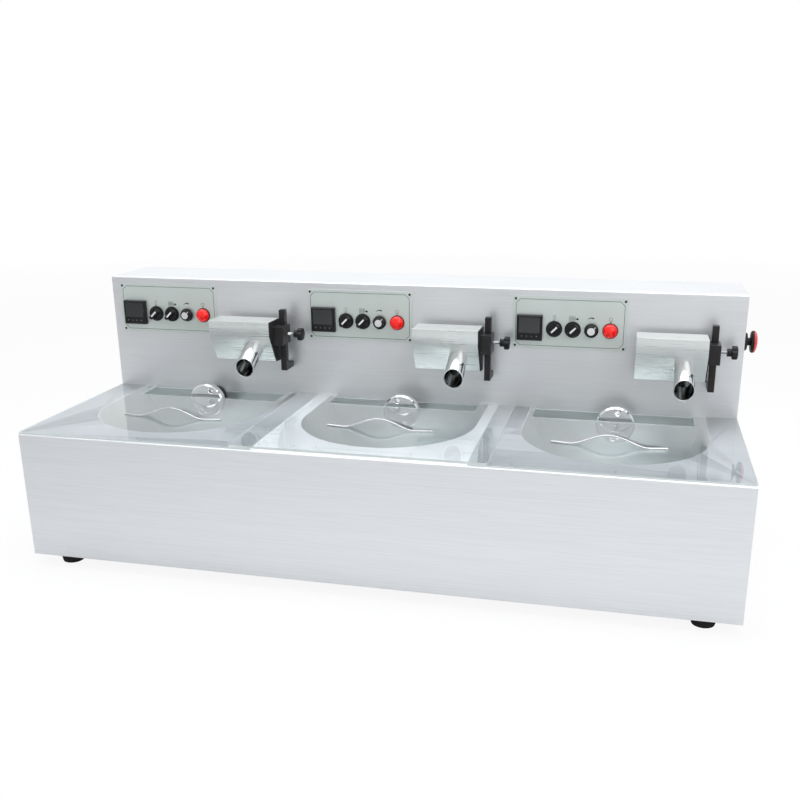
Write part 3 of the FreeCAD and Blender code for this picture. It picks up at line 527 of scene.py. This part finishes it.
def box_points(x, z, wide, tall):
    return [
        (x - wide / 2, z - tall / 2), (x + wide / 2, z - tall / 2), (x + wide / 2, z + tall / 2),
        (x - wide / 2, z + tall / 2)
    ]


dark_ink = moulded("black printing ink", (0.02, 0.022, 0.022), 0.5)
grey_ink = moulded("grey printing ink", (0.30, 0.36, 0.32), 0.5)
thermometer = [(round_points(0, -5.0, 2.0), grey_ink, 0), (box_points(0, 0.8, 1.3, 9.5), grey_ink, 0)]
thermometer += [(round_points(2.6, z, 0.55, 10), dark_ink, 0) for z in (-2.0, 0.6, 3.2, 5.8)]
thermometer += [(round_points(-2.6, z, 0.55, 10), grey_ink, 0) for z in (-0.7, 1.9, 4.5)]
motor = [(box_points(-4.6 + 2.3 * k, 0, 1.5, 10.5), grey_ink, 0) for k in range(5)]
motor += [(box_points(0, 0, 12.6, 1.0), grey_ink, 0), (box_points(7.0, -0.4, 2.0, 1.6), dark_ink, 0)]
motor += [(round_points(9.2, -0.4, 1.9), dark_ink, 0), (box_points(0, -6.2, 13.5, 1.2), grey_ink, 0)]
arc = [math.radians(150 - 8 * k) for k in range(12)]
wedge_outer = [(9.0 * math.cos(t), 9.0 * math.sin(t) - 5.5) for t in arc]
wedge_inner = [
    ((8.6 - 0.2 * k) * math.cos(t), (8.6 - 0.2 * k) * math.sin(t) - 5.5) for k, t in enumerate(arc)
]
speed_sign = [(wedge_outer + wedge_inner[::-1], dark_ink, 0)]
bulb = [
    (round_points(0, 1.0, 3.3, 24), dark_ink, 0.55), (box_points(0, -3.6, 2.8, 0.7), dark_ink, 0),
    (box_points(0, -5.0, 2.2, 0.7), dark_ink, 0)
]
left = plate_low.x
signs = {
    "thermometer": (74.0, thermometer), "motor": (106.5, motor), "speed": (141.0, speed_sign),
    "bulb": (174.0, bulb)
}
sign_z = plate_low.z + 56.5 * MM
for sign, (offset, patches) in signs.items():
    made = [inked(f"{sign}_{k}", points, finish, ring) for k, (points, finish, ring) in enumerate(patches)]
    place = Vector((left + offset * MM, plate_low.y, sign_z))
    for patch in made:
        patch.data.transform(Matrix.Translation(place))
        for station in (1, 2):
            again(patch, f"{patch.name}_station_{station + 1}", (station * PITCH, 0, 0))


# ---- temperature controllers: black panel meters clipped through the plate, each with a sunk dark
# window, four keys under it and a column of small indicator lights beside the digits.

eased("temperature_controllers", black_plastic, 0.45 * MM, 2)
window_glass, shader, place = new_finish("smoked display window")
feed(shader, Base_Color=place.noise(30, 3).blend((0.006, 0.007, 0.010), (0.012, 0.013, 0.018)))
feed(shader, Roughness=0.06 + place.noise(80, 4) * 0.08, Coat_Weight=0.6)
low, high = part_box("temperature_controllers")
meter_x = (low.x + high.x - 2 * PITCH) / 2
meter_z = (low.z + high.z) / 2
bpy.ops.object.select_all(action="DESELECT")
bpy.ops.mesh.primitive_cube_add(size=1, location=(meter_x, low.y + 1.05 * MM, meter_z + 5.25 * MM),
                                scale=(37.6 * MM, 0.9 * MM, 28.1 * MM))
window = bpy.context.object
bpy.ops.object.transform_apply(location=True, rotation=True, scale=True)
shape_up(window, rounded(0.25 * MM))
smooth(window)
settle(window, "window_1", "machine", "black_plastic", window_glass)
dim_light = moulded("unlit indicator", (0.10, 0.10, 0.11), 0.25)
key_print = moulded("grey key print", (0.22, 0.22, 0.23), 0.5)
for station in (1, 2):
    again(window, f"window_{station + 1}", (station * PITCH, 0, 0))
for k in range(4):
    light = inked(f"meter_light_{k + 1}", round_points(0, 0, 0.7, 12), dim_light)
    light.data.transform(
        Matrix.Translation((meter_x + 16.2 * MM, low.y + 0.6 * MM, meter_z + (15 - 6 * k) * MM))
    )
    mark = inked(
        f"key_mark_{k + 1}",
        [(-1.1, -0.9), (1.1, -0.9), (0, 1.2)] if k in (1, 2) else round_points(0, 0, 1.0, 14), key_print
    )
    mark.data.transform(Matrix.Translation((meter_x + (9 * k - 13.5) * MM, low.y, meter_z - 14.8 * MM)))
    for piece in (light, mark):
        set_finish(piece, "grey_plastic")
        for station in (1, 2):
            again(piece, f"{piece.name}_station_{station + 1}", (station * PITCH, 0, 0))


# ---- selector switches: two for each station, for the heat and for the motor. Each has a black
# ring clamped to the plate and a dial with a moulded grip across it and an inlaid white pointer.

eased("control_bezels", black_plastic, 0.5 * MM, 2)
paint("switch_blocks", moulded("grey contact block plastic", (0.17, 0.18, 0.19), 0.5))
white_inlay = moulded("white inlay", (0.83, 0.83, 0.81), 0.4)
for kind in ("heat", "motor"):
    for number in (1, 2, 3):
        node = f"{kind}_selector_{number}"
        low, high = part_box(node)
        centre = Vector(((low.x + high.x) / 2, 0, (low.z + high.z) / 2))
        back = high.y
        dial_shape = [
            (4.0 * MM, 0), (4.0 * MM, 3.4 * MM), (12.2 * MM, 3.4 * MM), (12.2 * MM, 6.4 * MM),
            (11.7 * MM, 7.4 * MM), (10.7 * MM, 7.9 * MM)
        ]
        dial = turned(dial_shape, (centre.x, back, centre.z), (0, -1, 0))
        bpy.ops.object.select_all(action="DESELECT")
        grip_top = low.y
        grip_depth = back - 7.0 * MM - grip_top
        bpy.ops.mesh.primitive_cube_add(size=1, location=(0, 0, 0), scale=(8.0 * MM, grip_depth, 22.8 * MM))
        grip = bpy.context.object
        bpy.ops.object.transform_apply(location=True, rotation=True, scale=True)
        bpy.ops.object.mode_set(mode="EDIT")
        bpy.ops.mesh.select_all(action="SELECT")
        bpy.ops.mesh.bisect(plane_co=(0, 0, 0), plane_no=(0, 0, 1))
        bpy.ops.object.mode_set(mode="OBJECT")
        for vertex in grip.data.vertices:
            if abs(vertex.co.z) < MM:
                vertex.co.x *= 0.78
            if vertex.co.y < 0:
                vertex.co.x *= 0.86
        shape_up(grip, rounded(1.3 * MM, 3, 40))
        grip.rotation_euler = (0, math.radians(45), 0)
        grip.location = (centre.x, (back - 7.0 * MM + grip_top) / 2, centre.z)
        pick(grip)
        bpy.ops.object.transform_apply(location=True, rotation=True, scale=True)
        smooth(grip, 40)
        smooth(dial)
        settle(
            dial, f"{kind}_dial_{number}", f"{kind}_selector_body_{number}", "black_plastic", black_plastic,
            (node,)
        )
        settle(
            grip, f"{kind}_grip_{number}", f"{kind}_selector_body_{number}", "black_plastic", black_plastic,
            (node,)
        )
        bpy.ops.object.select_all(action="DESELECT")
        bpy.ops.mesh.primitive_cube_add(size=1, scale=(3.2 * MM, 0.6 * MM, 14.0 * MM))
        line = bpy.context.object
        bpy.ops.object.transform_apply(location=True, rotation=True, scale=True)
        shape_up(line, rounded(0.15 * MM, 1))
        line.rotation_euler = (0, math.radians(45), 0)
        line.location = Vector(
            (centre.x, grip_top + 0.2 * MM, centre.z)
        ) + Vector((0.7071, 0, 0.7071)) * 1.5 * MM
        pick(line)
        bpy.ops.object.transform_apply(location=True, rotation=True, scale=True)
        settle(
            line, f"{kind}_pointer_{number}", f"{kind}_selector_body_{number}", "black_plastic", white_inlay
        )


# ---- speed knobs: a black skirted knob on the spindle of a dial, with a flat bright cap let into
# its top and a white line on the skirt that shows the setting.

bright_cap = polished("spun aluminium cap", (0.74, 0.75, 0.76), 0.25)
for number in (1, 2, 3):
    low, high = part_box(f"speed_knob_{number}")
    centre = Vector(((low.x + high.x) / 2, high.y, (low.z + high.z) / 2))
    tall = high.y - low.y
    knob_shape = [
        (3.0 * MM, 0),
        (3.0 * MM, 2.4 * MM),
        (12.0 * MM, 2.4 * MM),
        (12.5 * MM, 2.9 * MM),
        (12.5 * MM, 5.2 * MM),
        (11.6 * MM, 6.0 * MM),
        (10.2 * MM, 7.0 * MM),
        (9.3 * MM, tall - 0.9 * MM),
        (8.5 * MM, tall),
        (6.8 * MM, tall),
        (6.8 * MM, tall - 0.6 * MM),
    ]
    knob = turned(knob_shape, centre, (0, -1, 0))
    smooth(knob)
    settle(
        knob, f"knob_{number}", f"speed_knob_body_{number}", "black_plastic", black_plastic,
        (f"speed_knob_{number}",)
    )
    cap_shape = [
        (6.7 * MM, tall - 0.7 * MM), (6.7 * MM, tall - 0.15 * MM), (6.3 * MM, tall),
        (3.0 * MM, tall - 0.12 * MM), (0.2 * MM, tall - 0.2 * MM)
    ]
    cap = turned(cap_shape, centre, (0, -1, 0), steps=48)
    smooth(cap, 50)
    settle(cap, f"knob_cap_{number}", f"speed_knob_body_{number}", "polished_steel", bright_cap)
    bpy.ops.object.select_all(action="DESELECT")
    bpy.ops.mesh.primitive_cube_add(size=1, scale=(1.3 * MM, 0.9 * MM, 4.6 * MM))
    line = bpy.context.object
    line.rotation_euler = (0, math.radians(45), 0)
    line.location = centre + Vector((0.7071 * 8.6 * MM, 0.35 * MM - tall, 0.7071 * 8.6 * MM))
    bpy.ops.object.transform_apply(location=True, rotation=True, scale=True)
    shape_up(line, rounded(0.12 * MM, 1))
    settle(line, f"knob_pointer_{number}", f"speed_knob_body_{number}", "black_plastic", white_inlay)


# ---- pilot lamps: clear red domed lenses over a bulb, each held in a black ring. The lens is
# glossy, deeper red round its rim than in the middle.

lamp_red, shader, place = new_finish("red lens plastic")
feed(shader, Base_Color=place.noise(120, 2).blend((0.80, 0.004, 0.003), (0.95, 0.012, 0.006)))
feed(
    shader, Roughness=0.12 + place.noise(60, 3) * 0.08, Coat_Weight=0.1, Emission_Color=(0.9, 0.0, 0.0),
    Emission_Strength=0.25
)
low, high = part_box("pilot_lamps")
lens_r = (high.x - low.x - 2 * PITCH) / 2
lens_z = (low.z + high.z) / 2
tall = high.y - low.y
lens_shape = [(lens_r, 0), (lens_r, tall - 8.4 * MM)]
lens_shape += [
    (lens_r * math.cos(t), tall - 8.4 * MM + 8.4 * MM * math.sin(t))
    for t in [math.radians(9 * k) for k in range(1, 10)]
]
lens_shape += [(0.2 * MM, tall)]
lens = turned(lens_shape, (low.x + lens_r, high.y, lens_z), (0, -1, 0))
smooth(lens, 50)
settle(lens, "lamp_lens_1", "machine", "lamp_red", lamp_red, ("pilot_lamps",))
for station in (1, 2):
    again(lens, f"lamp_lens_{station + 1}", (station * PITCH, 0, 0))


# ---- emergency stop: a red mushroom head on a plunger, in a collar screwed to the right-hand end
# of the backboard. It is pushed in to stop the machine and twisted to let it out again.

stop_red = moulded("red mushroom plastic", (0.62, 0.012, 0.010), 0.28, 0.00003, coat=0.3)
low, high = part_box("stop_cap")
head_r = (high.z - low.z) / 2
tall = high.x - low.x
centre = Vector((low.x, (low.y + high.y) / 2, (low.z + high.z) / 2))
eased("stop_collar", black_plastic, 0.5 * MM, 2)
eased("stop_stem", black_plastic, 0.3 * MM)
skirt_shape = [
    (4.2 * MM, 0), (17.0 * MM, 0), (18.8 * MM, 1.0 * MM), (head_r, 3.0 * MM), (head_r, 5.0 * MM),
    (19.2 * MM, 5.4 * MM)
]
stop_skirt = turned(skirt_shape, centre, (1, 0, 0))
smooth(stop_skirt, 50)
settle(stop_skirt, "stop_skirt", "stop_head", "stop_red", black_plastic)
cap_shape = [(19.3 * MM, 5.0 * MM), (19.6 * MM, 5.6 * MM)]
cap_shape += [
    (19.8 * MM * math.cos(t), 5.8 * MM + (tall - 5.8 * MM) * math.sin(t))
    for t in [math.radians(7.5 * k) for k in range(1, 12)]
]
cap_shape += [(0.3 * MM, tall)]
stop_cap = turned(cap_shape, centre, (1, 0, 0))
smooth(stop_cap, 50)
settle(stop_cap, "stop_mushroom", "stop_head", "stop_red", stop_red, ("stop_cap",))


# ---- scraper boxes: folded stainless troughs that take the chocolate off the wheel, each with a
# welded spout of polished tube. A black block carries the box and grips an upright bar that is
# screwed to the wall, so that the box can be set higher or lower.

def choose(piece, kind, test):
    """Goes into edit mode with only those points, edges or faces selected whose middle passes."""
    mesh = piece.data
    pick(piece)
    bpy.context.tool_settings.mesh_select_mode = (kind == "VERT", kind == "EDGE", kind == "FACE")
    for group in (mesh.vertices, mesh.edges, mesh.polygons):
        group.foreach_set("select", [False] * len(group))
    if kind == "VERT":
        for item in mesh.vertices:
            item.select = test(item.co)
    elif kind == "EDGE":
        for item in mesh.edges:
            item.select = test((mesh.vertices[item.vertices[0]].co + mesh.vertices[item.vertices[1]].co) / 2)
    else:
        for item in mesh.polygons:
            item.select = test(item.center)
    bpy.ops.object.mode_set(mode="EDIT")


scraper_steel = brushed_steel(
    "scraper sheet steel", (0.66, 0.68, 0.67), (0.75, 0.77, 0.76), 0.3, metal=0.7, grain=0.7
)
clamp_black = moulded("black anodised clamp", (0.022, 0.021, 0.022), 0.36, 0.00005, metal=0.25)
eased("clamp_bars", clamp_black, 0.7 * MM, 2)
for number in (1, 2, 3):
    eased(f"scraper_box_{number}", scraper_steel, 0.3 * MM, 2)
    eased(f"clamp_block_{number}", clamp_black, 0.7 * MM, 2)
    low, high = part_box(f"spout_{number}")
    axis = Vector((0, -0.8766, -0.4813))
    length = 55 * MM
    outer, bore = 17.5 * MM, 16.0 * MM
    root = Vector(((low.x + high.x) / 2, high.y - outer * 0.4813, high.z - outer * 0.8766))
    tube_shape = [
        (bore, -4 * MM), (outer, -4 * MM), (outer, 0), (outer, 1.5 * length), (bore, 1.5 * length),
        (bore, -4 * MM)
    ]
    tube = turned(tube_shape, root, axis, closed=True, steps=72)
    lean = math.radians(28.77 - 22)
    choose(tube, "FACE", lambda at: True)
    bpy.ops.mesh.bisect(plane_co=root + axis * length, plane_no=(0, -math.cos(lean), -math.sin(lean)),
                        use_fill=True, clear_outer=True)
    bpy.ops.object.mode_set(mode="OBJECT")
    shape_up(tube, rounded(0.35 * MM, 2, 50))
    smooth(tube)
    settle(
        tube, f"spout_tube_{number}", f"scraper_body_{number}", "polished_steel", chrome,
        (f"spout_{number}",)
    )


# ---- thumbscrews: a threaded steel rod that bears on the bar, and a black lobed grip with a
# stepped neck moulded on its end.

for number in (1, 2, 3):
    low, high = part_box(f"thumbscrew_{number}")
    centre = Vector((low.x, (low.y + high.y) / 2, (low.z + high.z) / 2))
    long = high.x - low.x
    grip_from, neck_from = long - 10 * MM, long - 18 * MM
    thread = [(2.4 * MM, 0)]
    ridge = 0.0008
    while ridge < neck_from - MM:
        thread += [(2.55 * MM, ridge), (2.98 * MM, ridge + 0.0005)]
        ridge += 0.001
    thread += [(2.7 * MM, neck_from - 0.4 * MM), (2.7 * MM, grip_from)]
    screw = turned(thread, centre, (1, 0, 0), steps=36)
    smooth(screw)
    settle(screw, f"thumb_thread_{number}", f"thumbscrew_body_{number}", "screw_steel", chrome)
    grip_shape = [(2.9 * MM, neck_from), (6.6 * MM, neck_from), (7.0 * MM, neck_from + 0.5 * MM),
                  (6.8 * MM, grip_from),
                  (11.2 * MM, grip_from), (12 * MM, grip_from + 1.2 * MM), (12 * MM, long - 2.6 * MM),
                  (10.9 * MM, long - 1.0 * MM), (8.4 * MM, long - 0.4 * MM), (4.0 * MM, long - 0.1 * MM),
                  (0.3 * MM, long)]
    grip = turned(grip_shape, centre, (1, 0, 0), steps=96)
    for vertex in grip.data.vertices:
        out = Vector((vertex.co.y - centre.y, vertex.co.z - centre.z))
        if out.length > 9 * MM:
            wave = 0.5 - 0.5 * math.cos(6 * math.atan2(out.y, out.x))
            out *= 1 - 0.15 * wave ** 2
            vertex.co.y, vertex.co.z = centre.y + out.x, centre.z + out.y
    smooth(grip, 50)
    settle(
        grip, f"thumb_grip_{number}", f"thumbscrew_body_{number}", "black_plastic", black_plastic,
        (f"thumbscrew_{number}",)
    )


# ---- lids: 3.5 mm clear sheet, cut out round the wheel at the back and polished on its edges. Two
# lie on the deck and the middle one lies across their inner ends.

def clear_sheet(name, tint, rough):
    """Clear sheet plastic with faint wipe marks; its upright edge faces get a pale milky shader, a painted
    highlight for the light the polished edges catch.
    """
    made, shader, place = new_finish(name)
    wipe = place.noise(7, 4, (1, 3, 1))
    fine = place.noise(220, 3)
    pale = tuple(min(1.0, c * 1.03) for c in tint)
    feed(shader, Base_Color=wipe.blend(tint, pale), Transmission_Weight=0.97, IOR=1.49)
    feed(shader, Roughness=rough + (wipe - 0.45) * 0.05, Normal=fine.bump(0.000004, 0.2))
    tree = made.node_tree
    # Painted highlight: the upright edge faces get this pale, partly opaque shader in place of the light that
    # polished clear edges catch.
    edge = tree.nodes.new("ShaderNodeBsdfPrincipled")
    feed(
        edge, Base_Color=fine.blend((0.86, 0.93, 0.94), (0.95, 0.98, 0.98)), Roughness=0.22,
        Transmission_Weight=0.35
    )
    facing = place.node("ShaderNodeNewGeometry", None, None, 3).parts()[2]
    painted_edge_glint = facing.maths("ABSOLUTE", facing).below(0.6)
    sheet = place.node("ShaderNodeMixShader", None,
                       {0: painted_edge_glint, 1: Wire(tree, shader.outputs[0]), 2: Wire(tree, edge.outputs[0])})
    clear = place.node("ShaderNodeBsdfTransparent", None, {0: (*[0.5 + c / 2 for c in tint], 1)})
    shadow_ray = place.node("ShaderNodeLightPath", None, None, 1)
    mixed = place.node("ShaderNodeMixShader", None, {0: shadow_ray, 1: sheet, 2: clear})
    tree.links.new(mixed.socket, tree.nodes["Material Output"].inputs["Surface"])
    return made


lid_clear = clear_sheet("clear lid sheet", (0.955, 0.98, 0.985), 0.012)
notch_half, notch_depth = 140 * MM, 67 * MM
notch_middles = [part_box(f"lid_handle_{n}") for n in (1, 2, 3)]
notch_middles = [(low.x + high.x) / 2 for low, high in notch_middles]
for number in (1, 2, 3):
    low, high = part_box(f"lid_{number}")
    middle, size = (low + high) / 2, high - low
    bpy.ops.object.select_all(action="DESELECT")
    bpy.ops.mesh.primitive_plane_add(size=1, location=(middle.x, middle.y, low.z), scale=(size.x, size.y, 1))
    sheet = bpy.context.object
    sheet.scale = (size.x, size.y, 1)
    bpy.ops.object.transform_apply(location=True, rotation=True, scale=True)
    notch_x, notch_y = notch_middles[number - 1], high.y + 0.5 * MM - notch_depth
    cuts = [
        ((notch_x - notch_half, 0, 0), (1, 0, 0)), ((notch_x + notch_half, 0, 0), (1, 0, 0)),
        ((0, notch_y, 0), (0, 1, 0))
    ]
    bpy.ops.object.mode_set(mode="EDIT")
    for point, normal in cuts:
        bpy.ops.mesh.select_all(action="SELECT")
        bpy.ops.mesh.bisect(plane_co=point, plane_no=normal)
    bpy.ops.object.mode_set(mode="OBJECT")
    choose(sheet, "FACE", lambda at: abs(at.x - notch_x) < notch_half and at.y > notch_y)
    bpy.ops.mesh.delete(type="FACE")
    bpy.ops.object.mode_set(mode="OBJECT")
    choose(sheet, "FACE", lambda at: True)
    bpy.ops.mesh.dissolve_limited(angle_limit=0.01)
    bpy.ops.object.mode_set(mode="OBJECT")
    choose(sheet, "VERT", lambda at: min(abs(at.x - low.x), abs(at.x - high.x)) < MM)
    bpy.ops.mesh.bevel(offset=4 * MM, segments=6, affect="VERTICES")
    bpy.ops.mesh.select_all(action="SELECT")
    bpy.ops.mesh.extrude_region_move(TRANSFORM_OT_translate={"value": (0, 0, size.z)})
    bpy.ops.mesh.select_all(action="SELECT")
    bpy.ops.mesh.normals_make_consistent(inside=False)
    bpy.ops.object.mode_set(mode="OBJECT")
    screw_low, screw_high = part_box(f"lid_screws_{number}")
    screw_r = (screw_high.y - screw_low.y) / 2
    for x in (screw_low.x + screw_r, screw_high.x - screw_r):
        place = (x, (screw_low.y + screw_high.y) / 2, low.z)
        sink = [
            (screw_r + 0.25 * MM, -0.2 * MM), (screw_r + 0.05 * MM, 0), (1.65 * MM, 2 * MM),
            (1.65 * MM, size.z + MM)
        ]
        drill = turned(sink, place, (0, 0, 1), steps=32)
        shape_up(sheet, ("BOOLEAN", {"object": drill, "operation": "DIFFERENCE", "solver": "EXACT"}))
        bpy.data.objects.remove(drill)
    shape_up(sheet, rounded(0.35 * MM, 2, 40))
    smooth(sheet)
    eased(f"lid_screws_{number}", screw_steel, 0.1 * MM)
    settle(sheet, f"lid_sheet_{number}", f"lid_body_{number}", "lid_clear", lid_clear, (f"lid_{number}",))


# ---- lid handles: a strip of polished steel bent into a low smooth bow, narrow in the middle and
# wider at its two flat feet. A countersunk screw comes up through the lid into each foot.

def strap_width(at, half, span):
    """How wide the strap is at a distance from its middle, in metres."""
    waist, wide, tip = 9 * MM, 16 * MM, 6 * MM
    if at < span:
        return waist + (wide - waist) * (1 - math.cos(math.pi * at / span)) / 2
    return wide + (tip - wide) * (1 - math.cos(math.pi * (at - span) / (half - span))) / 2


for number in (1, 2, 3):
    low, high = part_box(f"lid_handle_{number}")
    middle_x, middle_y = (low.x + high.x) / 2, (low.y + high.y) / 2
    half = (high.x - low.x) / 2
    span, thick = half - 33 * MM, 3.0 * MM
    rise = high.z - low.z - thick
    path = [(-half + k * (half - span) / 8, 0.0) for k in range(8)]
    for k in range(41):
        at = -1 + 2 * k / 40
        path.append((at * span, rise * ((1 + math.cos(math.pi * at)) / 2) ** 0.8))
    path += [(span + k * (half - span) / 8, 0.0) for k in range(1, 9)]
    bpy.ops.object.select_all(action="DESELECT")
    first, first_wide = path[1][0] - path[0][0], strap_width(half, half, span)
    bpy.ops.mesh.primitive_plane_add(size=1, location=(middle_x - half + first / 2, middle_y, low.z))
    strap = bpy.context.object
    strap.scale = (first, first_wide, 1)
    bpy.ops.object.transform_apply(location=True, rotation=True, scale=True)
    edge_x = middle_x + path[1][0]
    choose(strap, "EDGE", lambda at: abs(at.x - edge_x) < 0.1 * MM)
    wide = strap_width(-path[1][0], half, span)
    bpy.ops.transform.resize(value=(1, wide / first_wide, 1), center_override=(edge_x, middle_y, low.z))
    for (x0, z0), (x1, z1) in zip(path[1:], path[2:]):
        bpy.ops.mesh.extrude_region_move(TRANSFORM_OT_translate={"value": (x1 - x0, 0, z1 - z0)})
        grow = strap_width(abs(x1), half, span) / strap_width(abs(x0), half, span)
        bpy.ops.transform.resize(value=(1, grow, 1), center_override=(middle_x, middle_y, low.z))
    bpy.ops.mesh.select_all(action="SELECT")
    bpy.ops.mesh.normals_make_consistent(inside=False)
    bpy.ops.object.mode_set(mode="OBJECT")
    choose(strap, "VERT", lambda at: abs(abs(at.x - middle_x) - half) < 0.1 * MM)
    bpy.ops.mesh.bevel(offset=2 * MM, segments=4, affect="VERTICES")
    bpy.ops.object.mode_set(mode="OBJECT")
    upward = strap.data.polygons[0].normal.z > 0
    shape_up(
        strap, ("SOLIDIFY", {"thickness": thick, "offset": 1 if upward else -1}), rounded(0.9 * MM, 3, 40)
    )
    smooth(strap, 40)
    settle(
        strap, f"handle_{number}", f"lid_body_{number}", "polished_steel", chrome, (f"lid_handle_{number}",)
    )


# ---- the room: a plain pale floor under a white surround, one large soft light in front on the
# right and a wide one overhead.

floor_paint = bpy.data.materials.new("pale floor")
floor_paint.use_nodes = True
tree = floor_paint.node_tree
shader = tree.nodes["Principled BSDF"]
start = Wire(tree)
feed(shader, Base_Color=(0.88, 0.88, 0.88), Roughness=0.9)
glow = start.node("ShaderNodeEmission", None, {0: (1, 1, 1, 1), 1: 1.0})
start.node("ShaderNodeLightPath")
ray_outputs = tree.nodes[-1].outputs
seen = Wire(tree, ray_outputs["Is Camera Ray"])
# The floor's own white takes over with distance, so that no line shows where it ends.
reach = start.node("ShaderNodeTexCoord", None, None, 3).parts()
reach = (reach[0] * reach[0] + reach[1] * reach[1]) * 0.04
near_share = reach.maths("MINIMUM", reach, 1.0) * 0.1 + 0.9
mixed = start.node(
    "ShaderNodeMixShader", None, {0: seen * near_share, 1: Wire(tree, shader.outputs[0]), 2: glow}
)
tree.links.new(mixed.socket, tree.nodes["Material Output"].inputs["Surface"])
bpy.ops.object.select_all(action="DESELECT")
bpy.ops.mesh.primitive_plane_add(size=80, location=(0, 0, cad_box[0][2]))
floor = bpy.context.object
floor.name = "floor"
floor.data.materials.append(floor_paint)

world = bpy.data.worlds.new("white surround")
bpy.context.scene.world = world
world.use_nodes = True
tree = world.node_tree
start = Wire(tree)
start.node("ShaderNodeLightPath")
ray_outputs = tree.nodes[-1].outputs
white = Wire(tree, ray_outputs["Is Camera Ray"])
white = white.maths("MAXIMUM", white, Wire(tree, ray_outputs["Is Transmission Ray"]))
white = white.maths("MAXIMUM", white, Wire(tree, ray_outputs["Is Glossy Ray"]))
strength = white * 0.62 + 0.38
tree.links.new(strength.socket, tree.nodes["Background"].inputs["Strength"])
tree.nodes["Background"].inputs["Color"].default_value = (1, 1, 1, 1)


def soft_light(name, place, aim, size, watts, colour=(1, 1, 1)):
    data = bpy.data.lights.new(name, "AREA")
    data.shape, data.size, data.size_y = "RECTANGLE", *size
    data.energy, data.color = watts, colour
    lamp = bpy.data.objects.new(name, data)
    bpy.context.collection.objects.link(lamp)
    lamp.location = place
    lamp.rotation_euler = (Vector(aim) - Vector(place)).to_track_quat("-Z", "Y").to_euler()


soft_light("key", (1.7, -2.0, 1.7), (0.3, -0.2, 0.1), (2.6, 2.2), 26)
soft_light("overhead", (0.0, 0.1, 2.4), (0, 0, 0.2), (3.0, 1.8), 62, (0.93, 0.97, 1.0))

lens = bpy.data.cameras.new("camera")
camera = bpy.data.objects.new("camera", lens)
bpy.context.collection.objects.link(camera)
lens.sensor_width = 36
lens.lens = 41.934
lens.shift_x, lens.shift_y = -0.02874, 0.04694
tilt = Euler((math.pi / 2 - 0.30790, 0, 0.22460)).to_matrix() @ Matrix.Rotation(-0.0034, 3, "Z")
camera.matrix_world = Matrix.Translation((0.39549, -1.57979, 0.71505)) @ tilt.to_4x4()
bpy.context.scene.camera = camera
bpy.context.scene.view_settings.view_transform = "Standard"
